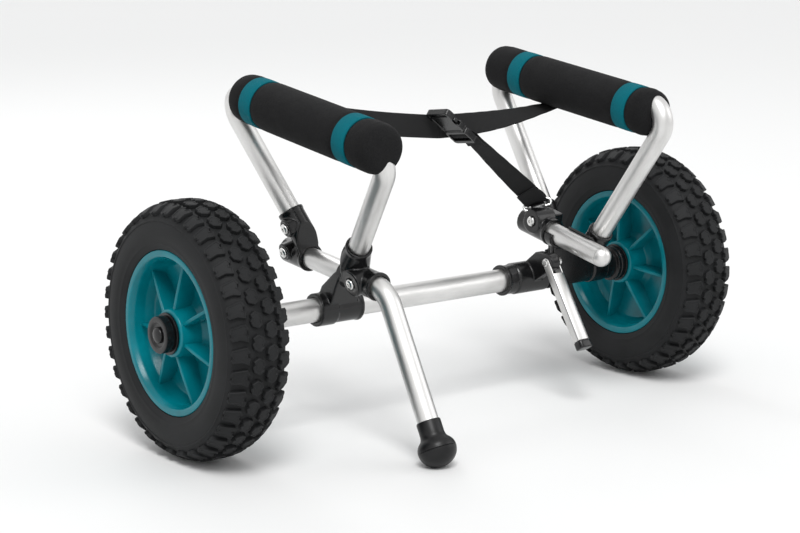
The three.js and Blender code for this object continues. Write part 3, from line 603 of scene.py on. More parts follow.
def tread_block(bm, outline, t0, phase, height):
    """One block: an outline in (round, across) distances, raised from the crown, its top edge eased."""

    def on(s, t, up):
        (r, h), (nr, nh) = crown(t0 + t)
        radius = r + nr * up
        angle = phase + s / FLOOR_R
        return (radius * math.cos(angle), radius * math.sin(angle), h + nh * up)

    def inset(amount):
        lengths = [math.hypot(s, t) for s, t in outline]
        shares = [(length - amount) / length for length in lengths]
        return [(s * k, t * k) for (s, t), k in zip(outline, shares)]

    levels = [
        (outline, -1.5), (inset(0.25), height - 0.6), (inset(0.9), height), (inset(2.0), height - 0.05),
        (inset(2.4), height - 0.45),
    ]
    loops = [[bm.verts.new(on(s, t, up)) for s, t in points] for points, up in levels]
    for one, two in zip(loops, loops[1:]):
        walls(bm, one, two)
    last = loops[-1]
    middle = bm.verts.new(on(0, 0, height - 0.35))
    for i in range(len(last)):
        bm.faces.new([last[i], last[(i + 1) % len(last)], middle])


# A centre block has six sides, with a step in its two long ones. A shoulder block has a notch in each end.
CENTRE_BLOCK = [
    (-8.6, -1.0), (-5.2, -5.6), (-1.4, -4.6), (0.4, -6.4), (5.6, -5.2), (8.6, 0.6),
    (5.4, 5.8), (1.6, 4.8), (-0.6, 6.6), (-5.8, 5.0),
]
SHOULDER_BLOCK = [
    (-8.8, -6.8), (-3.0, -8.2), (-1.4, -5.8), (2.4, -5.8), (4.0, -8.0), (8.8, -5.6),
    (7.8, 1.0), (5.6, 8.6), (1.2, 9.8), (-0.2, 8.2), (-2.8, 8.2), (-4.2, 9.8), (-7.6, 7.6), (-6.8, 0.0),
]


def tyre_mesh():
    """Half of the profile is listed, from the tread's middle down to the bead, and is mirrored."""
    flat_steps, round_steps = 4, 14
    half = [crown(FLAT * k / flat_steps)[0] for k in range(flat_steps)]
    half += [crown(FLAT + CROWN_R * CROWN_EDGE * k / round_steps)[0] for k in range(round_steps + 1)]
    side = [
        (114.6, 31.2), (112.6, 32.0), (112.0, 32.7), (111.2, 32.75), (110.6, 32.2), (108, 32.9), (103, 33.7),
        (98, 33.95), (94, 33.6), (90.4, 32.7), (89.4, 32.85), (88.6, 32.4), (87.2, 31.6), (84.5, 30.9),
        (83.0, 29.6), (82.8, 26.2), (76.8, 26.2),
    ]
    top = [tuple(p) for p in half] + side
    profile = [(r, -h) for r, h in reversed(top[1:])] + top
    bm = lathe(profile, 180)
    step = 2 * math.pi / PITCHES
    for i in range(PITCHES):
        for sign, centre, shoulder in ((-1, i, i + 0.5), (1, i + 0.5, i)):
            turned = [(sign * s, t) for s, t in CENTRE_BLOCK]
            tread_block(bm, turned, sign * CENTRE_ROW, centre * step, TREAD)
            turned = [(sign * s, sign * t) for s, t in SHOULDER_BLOCK]
            tread_block(bm, turned, sign * SHOULDER_ROW, shoulder * step, TREAD - 0.3)
    return bm


def rim_mesh():
    """The dished rim, turned, with its hub."""
    half = [
        (RIM_SEAT, BEAD_HALF), (RIM_OUT, BEAD_HALF), (RIM_OUT, RIM_HALF), (RIM_SEAT - 0.5, RIM_HALF),
        (73.2, 24), (72.0, 14), (67.5, 4.2), (60, 3), (34, 3), (27, 6.5), (25.2, 14), (24, RIM_HALF - 2.4),
        (22.5, RIM_HALF - 1), (16.1, RIM_HALF - 1),
    ]
    loop = half + [(r, -h) for r, h in reversed(half)]
    return lathe(rounded(loop, 1.4), 128)


def rib_mesh(angle):
    """One rib, its ends run into the hub and the barrel."""
    half = [(22, -25.5), (40, -23), (60, -19.5), (74, -17.2)]
    outline = half + [(r, -h) for r, h in reversed(half)]
    return moved(plate(outline, X, Z, (0, RIB_WALL / 2, 0), RIB_WALL), Matrix.Rotation(angle, 4, "Z"))


def bush_mesh():
    """A flanged bush that lines the hub from one face."""
    deep = HUB_FACE - 24
    profile = [(15.8, deep), (15.8, HUB_FACE), (21, HUB_FACE), (21, BUSH_OUT)]
    profile += [(AXLE_BORE, BUSH_OUT), (AXLE_BORE, deep)]
    return lathe(rounded(profile, 0.7))


def cap_mesh():
    """The end cap: a ring with a well for the bolt's head."""
    hole = BOLT_R + GAP
    profile = [
        (18.5, CAP_IN), (18.5, CAP_OUT), (12.6, CAP_OUT), (11.4, CAP_WELL), (hole, CAP_WELL), (hole, CAP_IN),
    ]
    return lathe(rounded(profile, 1.6))


def axle_bolt_mesh():
    """The bolt in an end of the axle, its domed head in the cap's well."""
    tip, seat = CAP_IN - 18, CAP_WELL + GAP
    dome = arc(0, 90, 9, HEAD_R, 3.4, y=seat + 1)
    return lathe([(0, tip), (BOLT_R, tip), (BOLT_R, seat), (HEAD_R, seat)] + dome + [(0, seat + 4.4)], 64)


def spacer_mesh():
    """The stepped spacer inboard of a wheel."""
    profile = [
        (16.5, 23.5), (16.5, 12), (15.9, 11.4), (15.9, 10.4), (19.5, 9.4), (19.5, 6.4), (18.7, 5.8),
        (18.7, 4.6), (19.5, 4), (19.5, 0), (AXLE_BORE, 0), (AXLE_BORE, 23.5),
    ]
    return lathe(rounded([(r, CAP_IN + h) for r, h in profile], 0.6))


for name, sign in (("left", -1), ("right", 1)):
    body = name + "_wheel"
    wheel = Matrix.Rotation(sign * math.pi / 2, 4, "Y") @ Matrix.Translation((0, 0, WHEEL_X))
    flip = wheel @ Matrix.Rotation(math.pi, 4, "X")
    piece(name + "_tyre_fine", tyre_mesh(), wheel, "tyre", body, name + "_tyre", 38)
    piece(name + "_rim_fine", rim_mesh(), wheel, "rim_teal", body, name + "_rim", 50)
    for i in range(RIBS):
        angle = math.radians(90 + sign * RIB_PHASE[name] + 360 / RIBS * i)
        finish(bevelled(f"{name}_rib_{i + 1}", rib_mesh(angle), wheel, 1.3), "rim_teal", body)
    for where, side in (("outer", wheel), ("inner", flip)):
        bush, node = f"{name}_{where}_bush_fine", f"{name}_{where}_hub_bush"
        piece(bush, bush_mesh(), side, "black_plastic", body, node)
    for what, bm, side, node in (
        ("cap", cap_mesh(), wheel, "end_cap"),
        ("axle_bolt", axle_bolt_mesh(), wheel, "axle_bolt"),
        ("spacer", spacer_mesh(), flip, "hub_spacer"),
    ):
        piece(f"{name}_{what}_fine", bm, side, "black_plastic", "root", f"{name}_{node}")


# Tubes
U_BEND = 20.5


def u_frame(side):
    """Stations of a U frame, places along its legs, and the line that its foam follows."""

    def at(point):
        return Vector((side["offset"], *point))

    def leg(end, height):
        bottom, top = at(side["foot"][end]), at(side["corner"][end])
        return bottom.lerp(top, (height - bottom.z) / (top.z - bottom.z))

    corners = [
        leg("rear", side["end"]["rear"]), at(side["corner"]["rear"]),
        at(side["corner"]["front"]), leg("front", side["end"]["front"]),
    ]
    front = at(side["foam"]["front"])
    along = (at(side["foam"]["rear"]) - front).normalized()
    middle = front - along * (front.y / along.y)
    return {"line": bent(corners, U_BEND), "leg": leg, "along": along, "middle": middle}


LEFT_U = u_frame(LEFT)
RIGHT_U = u_frame(RIGHT)


def tube(name, stations, matrix, body, node, radius=TUBE, side=X):
    piece(name, sweep(stations, radius, TUBE_WALL, 56, side), matrix, "satin_tube", body, node, 40)


straight = [(X * x, X) for x in (-AXLE_END, -150, 0, 150, AXLE_END)]
tube("axle_fine", straight, IN_CART, "root", "axle_tube", AXLE_R, Y)
tube("left_u_fine", LEFT_U["line"], IN_LEFT, "left_frame", "left_frame_tube")
tube("right_u_fine", RIGHT_U["line"], IN_RIGHT, "right_frame", "right_frame_tube")

# The lower tubes: the left one bends down as the stand leg, and the right one ends in a domed plug.
# The foot is made a little too low, and then pressed flat on the floor.
LEFT_REAR = 80
RIGHT_FRONT, RIGHT_REAR = -82, 40
STAND_CORNER = 84.8
STAND_BEND = 35
STAND_LEAN = math.radians(35)
FOOT_R = 19.6
FOOT_DEEP = 20
FOOT_SINK = 0.6
FOOT_SOCKET = 10
FOOT_LINE = -2.5
LEG_DROP = Vector((0, -math.sin(STAND_LEAN), -math.cos(STAND_LEAN)))
corner_z = LEFT["z"] - STAND_CORNER * math.sin(LEFT["tilt"])
foot_z = -WHEEL_R - FOOT_SINK + FOOT_DEEP
leg_run = (corner_z - foot_z) / math.cos(STAND_LEAN - LEFT["tilt"])
stand_corner = Y * -STAND_CORNER
stand_end = stand_corner + LEG_DROP * (leg_run - FOOT_SOCKET - GAP)
stand_line = bent([(0, LEFT_REAR, 0), stand_corner, stand_end], STAND_BEND)
tube("stand_fine", stand_line, LOW_LEFT, "root", "stand_tube")
right_line = [(Y * y, Y) for y in (RIGHT_FRONT, 0, RIGHT_REAR)]
tube("right_lower_fine", right_line, LOW_RIGHT, "root", "right_lower_tube")

PLUG_R = TUBE - TUBE_WALL - GAP
PLUG_DEEP = 10
plug = [(0, -PLUG_DEEP), (PLUG_R, -PLUG_DEEP), (PLUG_R, GAP)]
plug += arc(0, 90, 6, TUBE, TUBE, y=GAP) + [(0, GAP + TUBE)]
plug = aimed(lathe(plug, 64), Y * RIGHT_FRONT, -Y)
piece("plug_fine", plug, LOW_RIGHT, "satin_tube", "root", "right_tube_plug", 50)


def foot_mesh():
    """The foot about its leg's line: a bulb with a moulding line round it, and a cuff up the leg."""
    profile = [(0, -FOOT_DEEP)] + arc(-84, 0, 6, FOOT_R, FOOT_DEEP + FOOT_LINE, y=FOOT_LINE)
    profile += [(FOOT_R, FOOT_LINE - 0.4), (FOOT_R - 0.5, FOOT_LINE), (FOOT_R, FOOT_LINE + 0.4)]
    profile += arc(6, 43, 6, FOOT_R, 15, y=-2)
    profile += [(13.4, 9.6), (12.7, 11.4), (12.4, 13.5), (12.4, 26), (11.9, 27), (BORE, 27)]
    profile += [(BORE, FOOT_SOCKET), (0, FOOT_SOCKET)]
    return aimed(lathe(profile), stand_corner + LEG_DROP * leg_run, -LEG_DROP)


foot = place("foot_fine", foot_mesh(), LOW_LEFT, 50)
floor_z = AXLE.z - WHEEL_R * MM
for v in foot.data.vertices:
    v.co.z = max(v.co.z, floor_z)
finish(foot, "foot_rubber", "root", "foot")


# Bolts: where each head sits, facing -X
ELBOW_BOLT = (-17.0, 57.5, 38)
CLAMP_BOLT = (-17.0, 71, 7)
SOCKET_BOLT = (-17.0, -47.7, 3.6)
JOINT_BOLT = (-14.8, 19.8, 7.3)


def button_bolt(name, at, deep, matrix, body, node):
    """A button head with a six-sided socket."""
    head = [(5.6, 0), (5.6, 0.6), (5.2, 1.5), (4.3, 2.2), (3.2, 2.6), (0, 2.6)]
    profile = [(0, -deep), (2.5, -deep), (2.5, GAP)] + [(r, GAP + h) for r, h in head]
    hexagon = arc(0, 360, 60, 2.1, 2.1)
    ob = linked(name, to_mesh(name, aimed(lathe(profile, 48), Vector(at), -X)))
    cut_by(ob, aimed(plate(hexagon, X, Y, (0, 0, GAP + 0.9), 4), Vector(at), -X))
    finish(into_place(ob, matrix, 35), "zinc", body, node)


button_bolt("elbow_bolt_fine", ELBOW_BOLT, 5.7, IN_LEFT, "left_frame", "left_elbow_bolt")
button_bolt("clamp_bolt_fine", CLAMP_BOLT, 5.7, IN_LEFT, "left_frame", "left_elbow_clamp_bolt")
button_bolt("socket_bolt_fine", SOCKET_BOLT, 5.7, IN_LEFT, "left_frame", "left_socket_bolt")
button_bolt("joint_bolt_fine", JOINT_BOLT, 3.4, IN_RIGHT, "right_frame", "right_joint_bolt")


# Mouldings. A sleeve on a U's leg is thinner than one on a lower tube, and each has a thicker lip.
LEG_SLEEVE = SLEEVE - 0.8
LEG_LIP = SLEEVE - 0.2
SLEEVE_LIP = SLEEVE + 0.7
LIP_DEEP = 4
ELBOW_FRONT = 46
ELBOW_TOP = 49.8
SOCKET_FRONT, SOCKET_REAR = -73, -33.3
SOCKET_TOP = 40
JOINT_TOP = 14.3
CRADLE_TOP = 15.7
WIRE_R = 1.6
RING_HALF = 15.5
RING_PULL = 7.5


def sleeve(u, end, top_z, low_z, low_radius=LEG_SLEEVE):
    """A sleeve on a leg, that can widen downwards into the moulding's body."""
    low, top = u["leg"](end, low_z), u["leg"](end, top_z)
    length = (top - low).length
    return aimed(lathe([(0, 0), (low_radius, 0), (LEG_SLEEVE, length), (0, length)], 64), low, top - low)


def lip(u, end, top_z):
    """The thicker rim round a sleeve's mouth."""
    top = u["leg"](end, top_z)
    down = (u["leg"](end, top_z - 10) - top).normalized()
    return rod(LEG_LIP, top + down * LIP_DEEP, top)


def along(radius, start, end):
    return rod(radius, (0, start, 0), (0, end, 0))


def boss(radius, seat, inner=0):
    """A boss under a bolt's head, that ends at x = inner."""
    return rod(radius, seat, (inner, *seat[1:]))


def recess(radius, seat, depth=1.2):
    """A round recess that a bolt's head sits in."""
    x, y, z = seat
    return rod(radius, (x - 2, y, z), (x + depth, y, z))


moulding(
    "left_elbow_fine",
    [
        sleeve(LEFT_U, "rear", ELBOW_TOP, 10), lip(LEFT_U, "rear", ELBOW_TOP), along(SLEEVE, ELBOW_FRONT, 86),
        along(SLEEVE_LIP, ELBOW_FRONT, ELBOW_FRONT + LIP_DEEP), boss(9.5, ELBOW_BOLT), boss(9.5, CLAMP_BOLT),
    ],
    [
        box((-50, -50, -60), (50, ELBOW_FRONT + GAP, 80)), sweep(LEFT_U["line"], BORE),
        along(BORE, 20, LEFT_REAR + GAP), recess(6.6, ELBOW_BOLT), recess(6.6, CLAMP_BOLT),
    ],
    IN_LEFT, "left_frame", "left_elbow",
)
moulding(
    "left_socket_fine",
    [
        sleeve(LEFT_U, "front", 38, 4, 19.5), sleeve(LEFT_U, "front", SOCKET_TOP, 20),
        lip(LEFT_U, "front", SOCKET_TOP), along(SLEEVE, SOCKET_FRONT, SOCKET_REAR),
        along(SLEEVE_LIP, SOCKET_FRONT, SOCKET_FRONT + LIP_DEEP), boss(14.3, SOCKET_BOLT),
    ],
    [
        box((-50, SOCKET_REAR, -50), (50, 50, 80)), box((-50, -90, -50), (50, -33, -15)),
        sweep(LEFT_U["line"], BORE), along(BORE, -90, 0), recess(7, SOCKET_BOLT),
    ],
    IN_LEFT, "left_frame", "left_leg_socket",
)

# The eye on the right joint: its middle, its hole's direction, and the way the ring is pulled
EYE = Vector((0.5, 28, 19))
EYE_ALONG = Vector((0.803, -0.4636, 0.3746)).normalized()
EYE_UP = (Z - EYE_ALONG * EYE_ALONG.z).normalized()
EYE_PULL = Matrix.Rotation(math.radians(-35), 3, EYE_ALONG) @ EYE_UP


def in_eye(along_it, pull):
    return EYE + EYE_ALONG * along_it + EYE_PULL * pull


moulding(
    "right_joint_fine",
    [
        sleeve(RIGHT_U, "rear", JOINT_TOP, -11.8), along(SLEEVE, -2, 45), along(SLEEVE + 1, -2, 2),
        boss(13.5, JOINT_BOLT, TUBE), box((0, 12.7, -7), (RIGHT["offset"], 40, 14.4)),
        rod(5, in_eye(-8, 0), in_eye(8, 0)),
    ],
    [
        sweep(RIGHT_U["line"], BORE), along(BORE, -10, RIGHT_REAR + GAP),
        rod(WIRE_R + GAP, in_eye(-10, 0), in_eye(10, 0)), recess(7, JOINT_BOLT, 0.6),
    ],
    IN_RIGHT, "right_frame", "right_rear_joint",
)

wire = [(GAP, 0), (RING_HALF, 0), (RING_HALF, RING_PULL)]
wire += [(-a, pull) for a, pull in reversed(wire)]
wire = sweep(bent([in_eye(a, pull) for a, pull in wire], 3.5, 8), WIRE_R, sides=20)
piece("strap_ring_fine", wire, IN_RIGHT, "zinc", "right_frame", "strap_ring", 60)

half_round = arc(-82, 83, 8, SLEEVE, SLEEVE) + [(2, SLEEVE * 0.97), (2, -SLEEVE * 0.97)]
moulding(
    "right_socket_fine",
    [
        plate(half_round, X, Z, (0, -22, 0), 36), sleeve(RIGHT_U, "front", CRADLE_TOP, -10.4),
        lip(RIGHT_U, "front", CRADLE_TOP),
    ],
    [box((-50, -14.6, -60), (70, 50, 80)), sweep(RIGHT_U["line"], BORE), along(BORE, -70, 0)],
    IN_RIGHT, "right_frame", "right_leg_socket",
)

# Axle brackets: each is a collar round the axle, and a web up to what it carries
COLLAR = 16.5
LEFT_BRACKET = (-153, -100)
RIGHT_BRACKET = (161, 242)
LEVER_BRACKET = (96, 156)
WEB = 25
WEB_LEAN = -0.48


def on_axle(radius, start, end):
    return rod(radius, (start, 0, 0), (end, 0, 0))


def collar(start, end, ring_from, ring_to):
    """A collar's body, its raised ring, and a lip at each end."""
    return [
        on_axle(COLLAR - 0.4, start, end), on_axle(COLLAR + 0.9, ring_from, ring_to),
        on_axle(COLLAR + 0.6, start, start + 3), on_axle(COLLAR + 0.6, end - 3, end),
    ]


def axle_bore(start, end):
    return on_axle(AXLE_BORE, start - 3, end + 3)


# The left web leans forward from the axle to the frame's lower tube, and is cut away behind it
x, z = LEFT["x"], LEFT["z"]
left_web = [
    (-144, 0), (-109, 0), (-109, COLLAR / 2), (x + SLEEVE, z), (x, z + SLEEVE), (x - SLEEVE, z),
    (-144, COLLAR / 2),
]
FORWARD = Matrix(((1, 0, 0, 0), (0, 1, WEB_LEAN, 0), (0, 0, 1, 0), (0, 0, 0, 1)))
moulding(
    "left_bracket_fine",
    [
        *collar(*LEFT_BRACKET, -153, -133), moved(plate(left_web, X, Z, (0, WEB / 2, 0), WEB), FORWARD),
        moved(along(SLEEVE, -33, -16), LOW_LEFT),
    ],
    [
        moved(along(BORE, -82, LEFT_REAR), LOW_LEFT), axle_bore(*LEFT_BRACKET),
        moved(box((-50, -90, -12), (50, -33, 60)), LOW_LEFT),
        plate([(60, 0), (16, 12), (-24, 44), (-24, 90), (60, 90)], Y, Z, (-160, 0, 0), 65),
    ],
    IN_CART, "root", "left_axle_bracket",
)

x, z = RIGHT["x"], RIGHT["z"] - 5.5
right_web = [(161, 0), (222, 0), (222, COLLAR / 2), (x + SLEEVE, z), (x - SLEEVE / 2, z), (161, COLLAR)]
moulding(
    "right_bracket_fine",
    [
        *collar(*RIGHT_BRACKET, 222, 242), plate(right_web, X, Z, (0, -9.6, 0), 6.7),
        moved(along(SLEEVE, -14.3, -2.3), LOW_RIGHT),
    ],
    [
        moved(along(BORE, -30, 30), LOW_RIGHT), axle_bore(*RIGHT_BRACKET),
        moved(box((-30, -20, 3), (30, 5, 40)), LOW_RIGHT), moved(box((0, -20, -10), (30, 5, 40)), LOW_RIGHT),
    ],
    IN_CART, "root", "right_axle_bracket",
)

# The lever, in directions of its own: DOWN along it and FRONT across it
LEVER_X = 136.0
LEVER_HALF = 7.5
LEVER_WALL = 1.6
LEVER_LONG = 94
LEVER_EAR = 5
LEVER_PIVOT = Vector((LEVER_X, -38, 21.5))
LEVER_TURN = math.radians(33.2)
DOWN = Vector((0, -math.sin(LEVER_TURN), -math.cos(LEVER_TURN)))
FRONT = DOWN.cross(X)
knuckle = LEVER_HALF - LEVER_WALL - GAP
arm = [(-44.7, 14.9), (0, -13), (0, COLLAR), (-19, 31), (-38, 31)]
moulding(
    "lever_bracket_fine",
    [
        *collar(*LEVER_BRACKET, 112, 156), plate(arm, Y, Z, (LEVER_X - knuckle, 0, 0), knuckle * 2),
        rod(9.5, LEVER_PIVOT - X * knuckle, LEVER_PIVOT + X * knuckle),
    ],
    [rod(2.5, LEVER_PIVOT - X * 20, LEVER_PIVOT + X * 20), axle_bore(*LEVER_BRACKET)],
    IN_CART, "root", "lever_bracket", voxel=0.8,
)


def channel():
    """The lever: a folded channel with two round ears."""
    side = arc(270, 89, -15, LEVER_EAR, LEVER_EAR) + [(LEVER_LONG, LEVER_EAR), (LEVER_LONG, -LEVER_EAR)]
    faces = (LEVER_WALL - LEVER_HALF, LEVER_HALF)
    ears = [plate(side, DOWN, FRONT, LEVER_PIVOT + X * x, LEVER_WALL) for x in faces]
    outline = [(-7.5, 3.4), (-7.5, 5), (-3.75, 6.6), (3.75, 6.6), (7.5, 5), (7.5, 3.4)]
    web = plate(outline, X, FRONT, LEVER_PIVOT + DOWN * 15, 79)
    return joined(*ears, web)


def tip_mesh():
    """The lever's end cap, with a tongue inside the channel."""
    outline = rounded([(-8.2, -5.7), (8.2, -5.7), (8.2, 7.3), (-8.2, 7.3)], 4, 4)
    cap = plate(outline, X, FRONT, LEVER_PIVOT + DOWN * (LEVER_LONG + GAP), 9)
    tongue = plate([(-5.6, -5), (5.6, -5), (5.6, 3.1), (-5.6, 3.1)], X, FRONT, LEVER_PIVOT + DOWN * 82, 16)
    return joined(cap, tongue)


finish(bevelled("lever_fine", channel(), IN_CART, 0.5), "satin_tube", "lever", "lever_channel")
finish(bevelled("lever_tip_fine", tip_mesh(), IN_CART, 1.2), "black_plastic", "lever", "lever_end_cap")
pin = [
    (0, -2), (3.2, -2), (4, -1.4), (4.2, 0), (2.2, 0), (2.2, 15.6), (4.2, 15.6), (4.2, 20.2), (3.6, 21.1),
    (0, 21.1),
]
pin = aimed(lathe(pin, 48), LEVER_PIVOT - X * (LEVER_HALF + GAP), X)
piece("lever_pin_fine", pin, IN_CART, "zinc", "root", "lever_pivot_bolt")


# Foam pads and their bands
PAD = {
    "left": {"u": LEFT_U, "in": IN_LEFT, "front": -134, "rear": 111, "bands": (-87, 74)},
    "right": {"u": RIGHT_U, "in": IN_RIGHT, "front": -108, "rear": 158, "bands": (-71, 101)},
}
PAD_R = 25.0
PAD_END = 13
SWELL = 0.6
DRAWN_IN = -1.3
BAND_HALF = 10.5
SWELL_FROM = 22


def pad_profile(front, rear, bands):
    """Foam that swells between its bands and is drawn in under them."""
    flat_end = PAD_R - PAD_END
    points = [(0, front)] + arc(-84, 1, 12, PAD_END, PAD_END, flat_end, front + PAD_END)
    y = front + PAD_END + 3
    while y < rear - PAD_END - 3:
        swell = SWELL
        for middle in bands:
            near = abs(y - middle)
            if near < BAND_HALF:
                swell = DRAWN_IN
            elif near < SWELL_FROM:
                rise = (SWELL - DRAWN_IN) * (1 - math.exp(-(near - BAND_HALF) / 2.4))
                swell = min(swell, DRAWN_IN + rise)
        points.append((PAD_R + swell, y))
        y += 3
    return points + arc(0, 85, 12, PAD_END, PAD_END, flat_end, rear - PAD_END) + [(0, rear)]


def band_mesh(middle):
    """A woven band, a little crowned, its edges turned in."""
    outer, inner = PAD_R + 0.5, PAD_R - 1.6
    half = [(inner, 9.7), (outer - 0.5, 9.9), (outer, 9.2)]
    profile = [(r, -h) for r, h in half] + [(outer + 0.15, 0)] + half[::-1]
    return lathe([(r, middle + h) for r, h in profile], 128)


for name, pad in PAD.items():
    body = name + "_frame"
    u = pad["u"]
    foam = aimed(lathe(pad_profile(pad["front"], pad["rear"], pad["bands"])), u["middle"], u["along"])
    ob = linked(name + "_foam_fine", to_mesh("foam", foam, 60))
    cut_by(ob, sweep(u["line"], TUBE + 0.5))
    finish(into_place(ob, pad["in"], 50), "foam", body, name + "_foam_pad")
    for where, middle in zip(("front", "rear"), pad["bands"]):
        band = aimed(band_mesh(middle), u["middle"], u["along"])
        piece(f"{name}_{where}_band_fine", band, pad["in"], "woven_teal", body, f"{name}_{where}_band", 50)


# Buckle, in its own axes: length along X, width along Y, its outer face towards +Z
BUCKLE = (
    Matrix.Translation((30.1, -2, 172.5))
    @ Matrix.Rotation(math.radians(39.5), 4, "Y")
    @ Matrix.Rotation(math.radians(171), 4, "X")
)
BODY_HALF = 16.5
CATCH_X = -16.3
PRONG = 1.7
PAST = 6


def slab(start, end, half_width):
    outline = [(start, -half_width), (end, -half_width), (end, half_width), (start, half_width)]
    return plate(rounded(outline, 4.5, 6), X, Y, (0, 0, -3.5), 7)


def slot(start, end, half_width, bottom=-PAST, top=PAST):
    return box((start, -half_width, bottom), (end, half_width, top))


def prong(start, side_from, side_to):
    return box((start, side_from, -PRONG), (3, side_to, PRONG))


# Cut from the body: its mouth, side openings, webbing slot, a recess in its face, and finger hollows
body_cuts = [
    slot(-22.5, 4, 13.6, -2.1, 2.1), slot(-22, -10.5, 18, -2.1, 2.1), slot(-30.4, -27.2, 12.8),
    slot(-24.5, -1.5, 12.8, 2.6),
]
body_cuts += [rod(6.4, (CATCH_X, y, -PAST), (CATCH_X, y, PAST)) for y in (-19.6, 19.6)]
fine = {"look": "black_plastic", "voxel": 0.4, "passes": 2}
moulding("buckle_body_fine", [slab(-33, 0, BODY_HALF)], body_cuts, BUCKLE, "root", "buckle_body", **fine)

# The plug: its slab with prongs and their catches, less two slots and the hollows of the bar between them
plug_parts = [slab(0.4, 21, 15.6), prong(-22, 9.6, 13.2), prong(-22, -13.2, -9.6), prong(-20, -2.2, 2.2)]
plug_parts += [rod(4.0, (CATCH_X, y, -PRONG), (CATCH_X, y, PRONG)) for y in (-12, 12)]
plug_cuts = [slot(4.4, 7.6, 12.9), slot(12.8, 16.4, 12.9)]
plug_cuts += [slot(7.5, 13, 12.9, bottom=0.5), slot(7.5, 13, 12.9, top=-2)]
moulding("buckle_plug_fine", plug_parts, plug_cuts, BUCKLE, "root", "buckle_plug", **fine)


# Webbing: each run is a ribbon through keys, each a point and a direction for its width
def eased(keys):
    """Stations of a smooth curve through the keys, about 2.5 mm apart."""
    out = []
    count = len(keys)
    for i in range(count - 1):
        p0, p1 = keys[max(i - 1, 0)][0], keys[i][0]
        p2, p3 = keys[i + 1][0], keys[min(i + 2, count - 1)][0]
        pieces = max(2, int((p2 - p1).length / 2.5))
        for k in range(pieces):
            t = k / pieces
            point = 0.5 * (
                2 * p1
                + (p2 - p0) * t
                + (2 * p0 - 5 * p1 + 4 * p2 - p3) * t**2
                + (3 * p1 - p0 - 3 * p2 + p3) * t**3
            )
            out.append((point, keys[i][1].lerp(keys[i + 1][1], t * t * (3 - 2 * t)).normalized()))
    out.append((keys[-1][0], keys[-1][1].normalized()))
    return out


WEB_WIDE = 25.0
WEB_THICK = 1.7


def ribbon(stations):
    """Webbing with softly rounded selvedges; returns the mesh and its length."""
    bm = bmesh.new()
    uv = bm.loops.layers.uv.new("UVMap")
    half = [-1, -0.985, -0.95, -0.9, -0.6, -0.3, 0, 0.3, 0.6, 0.9, 0.95, 0.985, 1]
    lift = [0, 0.55, 0.85, 1, 0.94, 0.97, 0.94, 0.97, 0.94, 1, 0.85, 0.55, 0]
    outline = [(a * WEB_WIDE / 2, b * WEB_THICK / 2) for a, b in zip(half, lift)]
    outline += [(a, -b) for a, b in reversed(outline[1:-1])]
    loops = []
    runs = distances(stations)
    for i, (point, wide) in enumerate(stations):
        run = (stations[min(i + 1, len(stations) - 1)][0] - stations[max(i - 1, 0)][0]).normalized()
        wide = (wide - run * wide.dot(run)).normalized()
        thick = run.cross(wide)
        loops.append([bm.verts.new(point + wide * a + thick * b) for a, b in outline])
    count = len(outline)
    for (one, two), (v0, v1) in zip(zip(loops, loops[1:]), zip(runs, runs[1:])):
        for i in range(count):
            j = (i + 1) % count
            a, b = outline[i][0], outline[j][0]
            laid(bm, uv, [one[i], one[j], two[j], two[i]], [(a, v0), (b, v0), (b, v1), (a, v1)], 1)
    bm.faces.new(loops[0])
    bm.faces.new(loops[-1])
    return bm, runs[-1]


def strap(node, keys):
    """A run of webbing between the root and a side frame."""
    bm, length = ribbon(eased(keys))
    ob = place(node + "_fine", bm, IN_CART, 50)
    finish(ob, "webbing", None, node)
    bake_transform(ob)


def hung(start, end, sag, steps):
    """Keys of a run that hangs between two keys."""
    out = []
    for i in range(steps + 1):
        share = i / steps
        at = start[0].lerp(end[0], share) - Z * sag * math.sin(math.pi * share)
        out.append((at, start[1].lerp(end[1], share).normalized()))
    return out


# How far the webbing's middle keeps from a pad's axis, and where along the pad each run meets it
CLEAR = 26.9
LEFT_MEETS = 30
RIGHT_MEETS = 66


def on_pad(u, matrix, at):
    """The point on a pad's axis that a run meets, and the axis's direction."""
    return matrix @ (u["middle"] + u["along"] * at), (matrix.to_3x3() @ u["along"]).normalized()


def round_pad(centre, axis, first, angles):
    """Keys that lie on a pad: turned about its axis from a first direction."""
    return [(centre + Matrix.Rotation(math.radians(a), 3, axis) @ first * CLEAR, axis) for a in angles]


# The level runs pass behind the buckle, standing on edge
buckle_wide = (BUCKLE.to_3x3() @ Y).normalized()
behind = BUCKLE @ Vector((-6, -BODY_HALF - 4, 0))
on_edge = X.cross(-buckle_wide).normalized()

centre, axis = on_pad(LEFT_U, IN_LEFT, LEFT_MEETS)
inward = behind - centre
inward = (inward - axis * inward.dot(axis)).normalized()
left_end = centre + inward * CLEAR
keys = hung((behind, on_edge), (left_end, on_edge), 2, 8)[:-1]
keys += round_pad(centre, axis, inward, (14, 32, 55, 80))
strap("strap_left", keys)

centre, axis = on_pad(RIGHT_U, IN_RIGHT, RIGHT_MEETS)
right_end = centre - Z * CLEAR
down = (-Z + axis * axis.z).normalized()
keys = hung((behind, on_edge), (right_end, axis), 4, 8)
keys += round_pad(centre, axis, down, (-25, -50, -75))
strap("strap_right", keys)

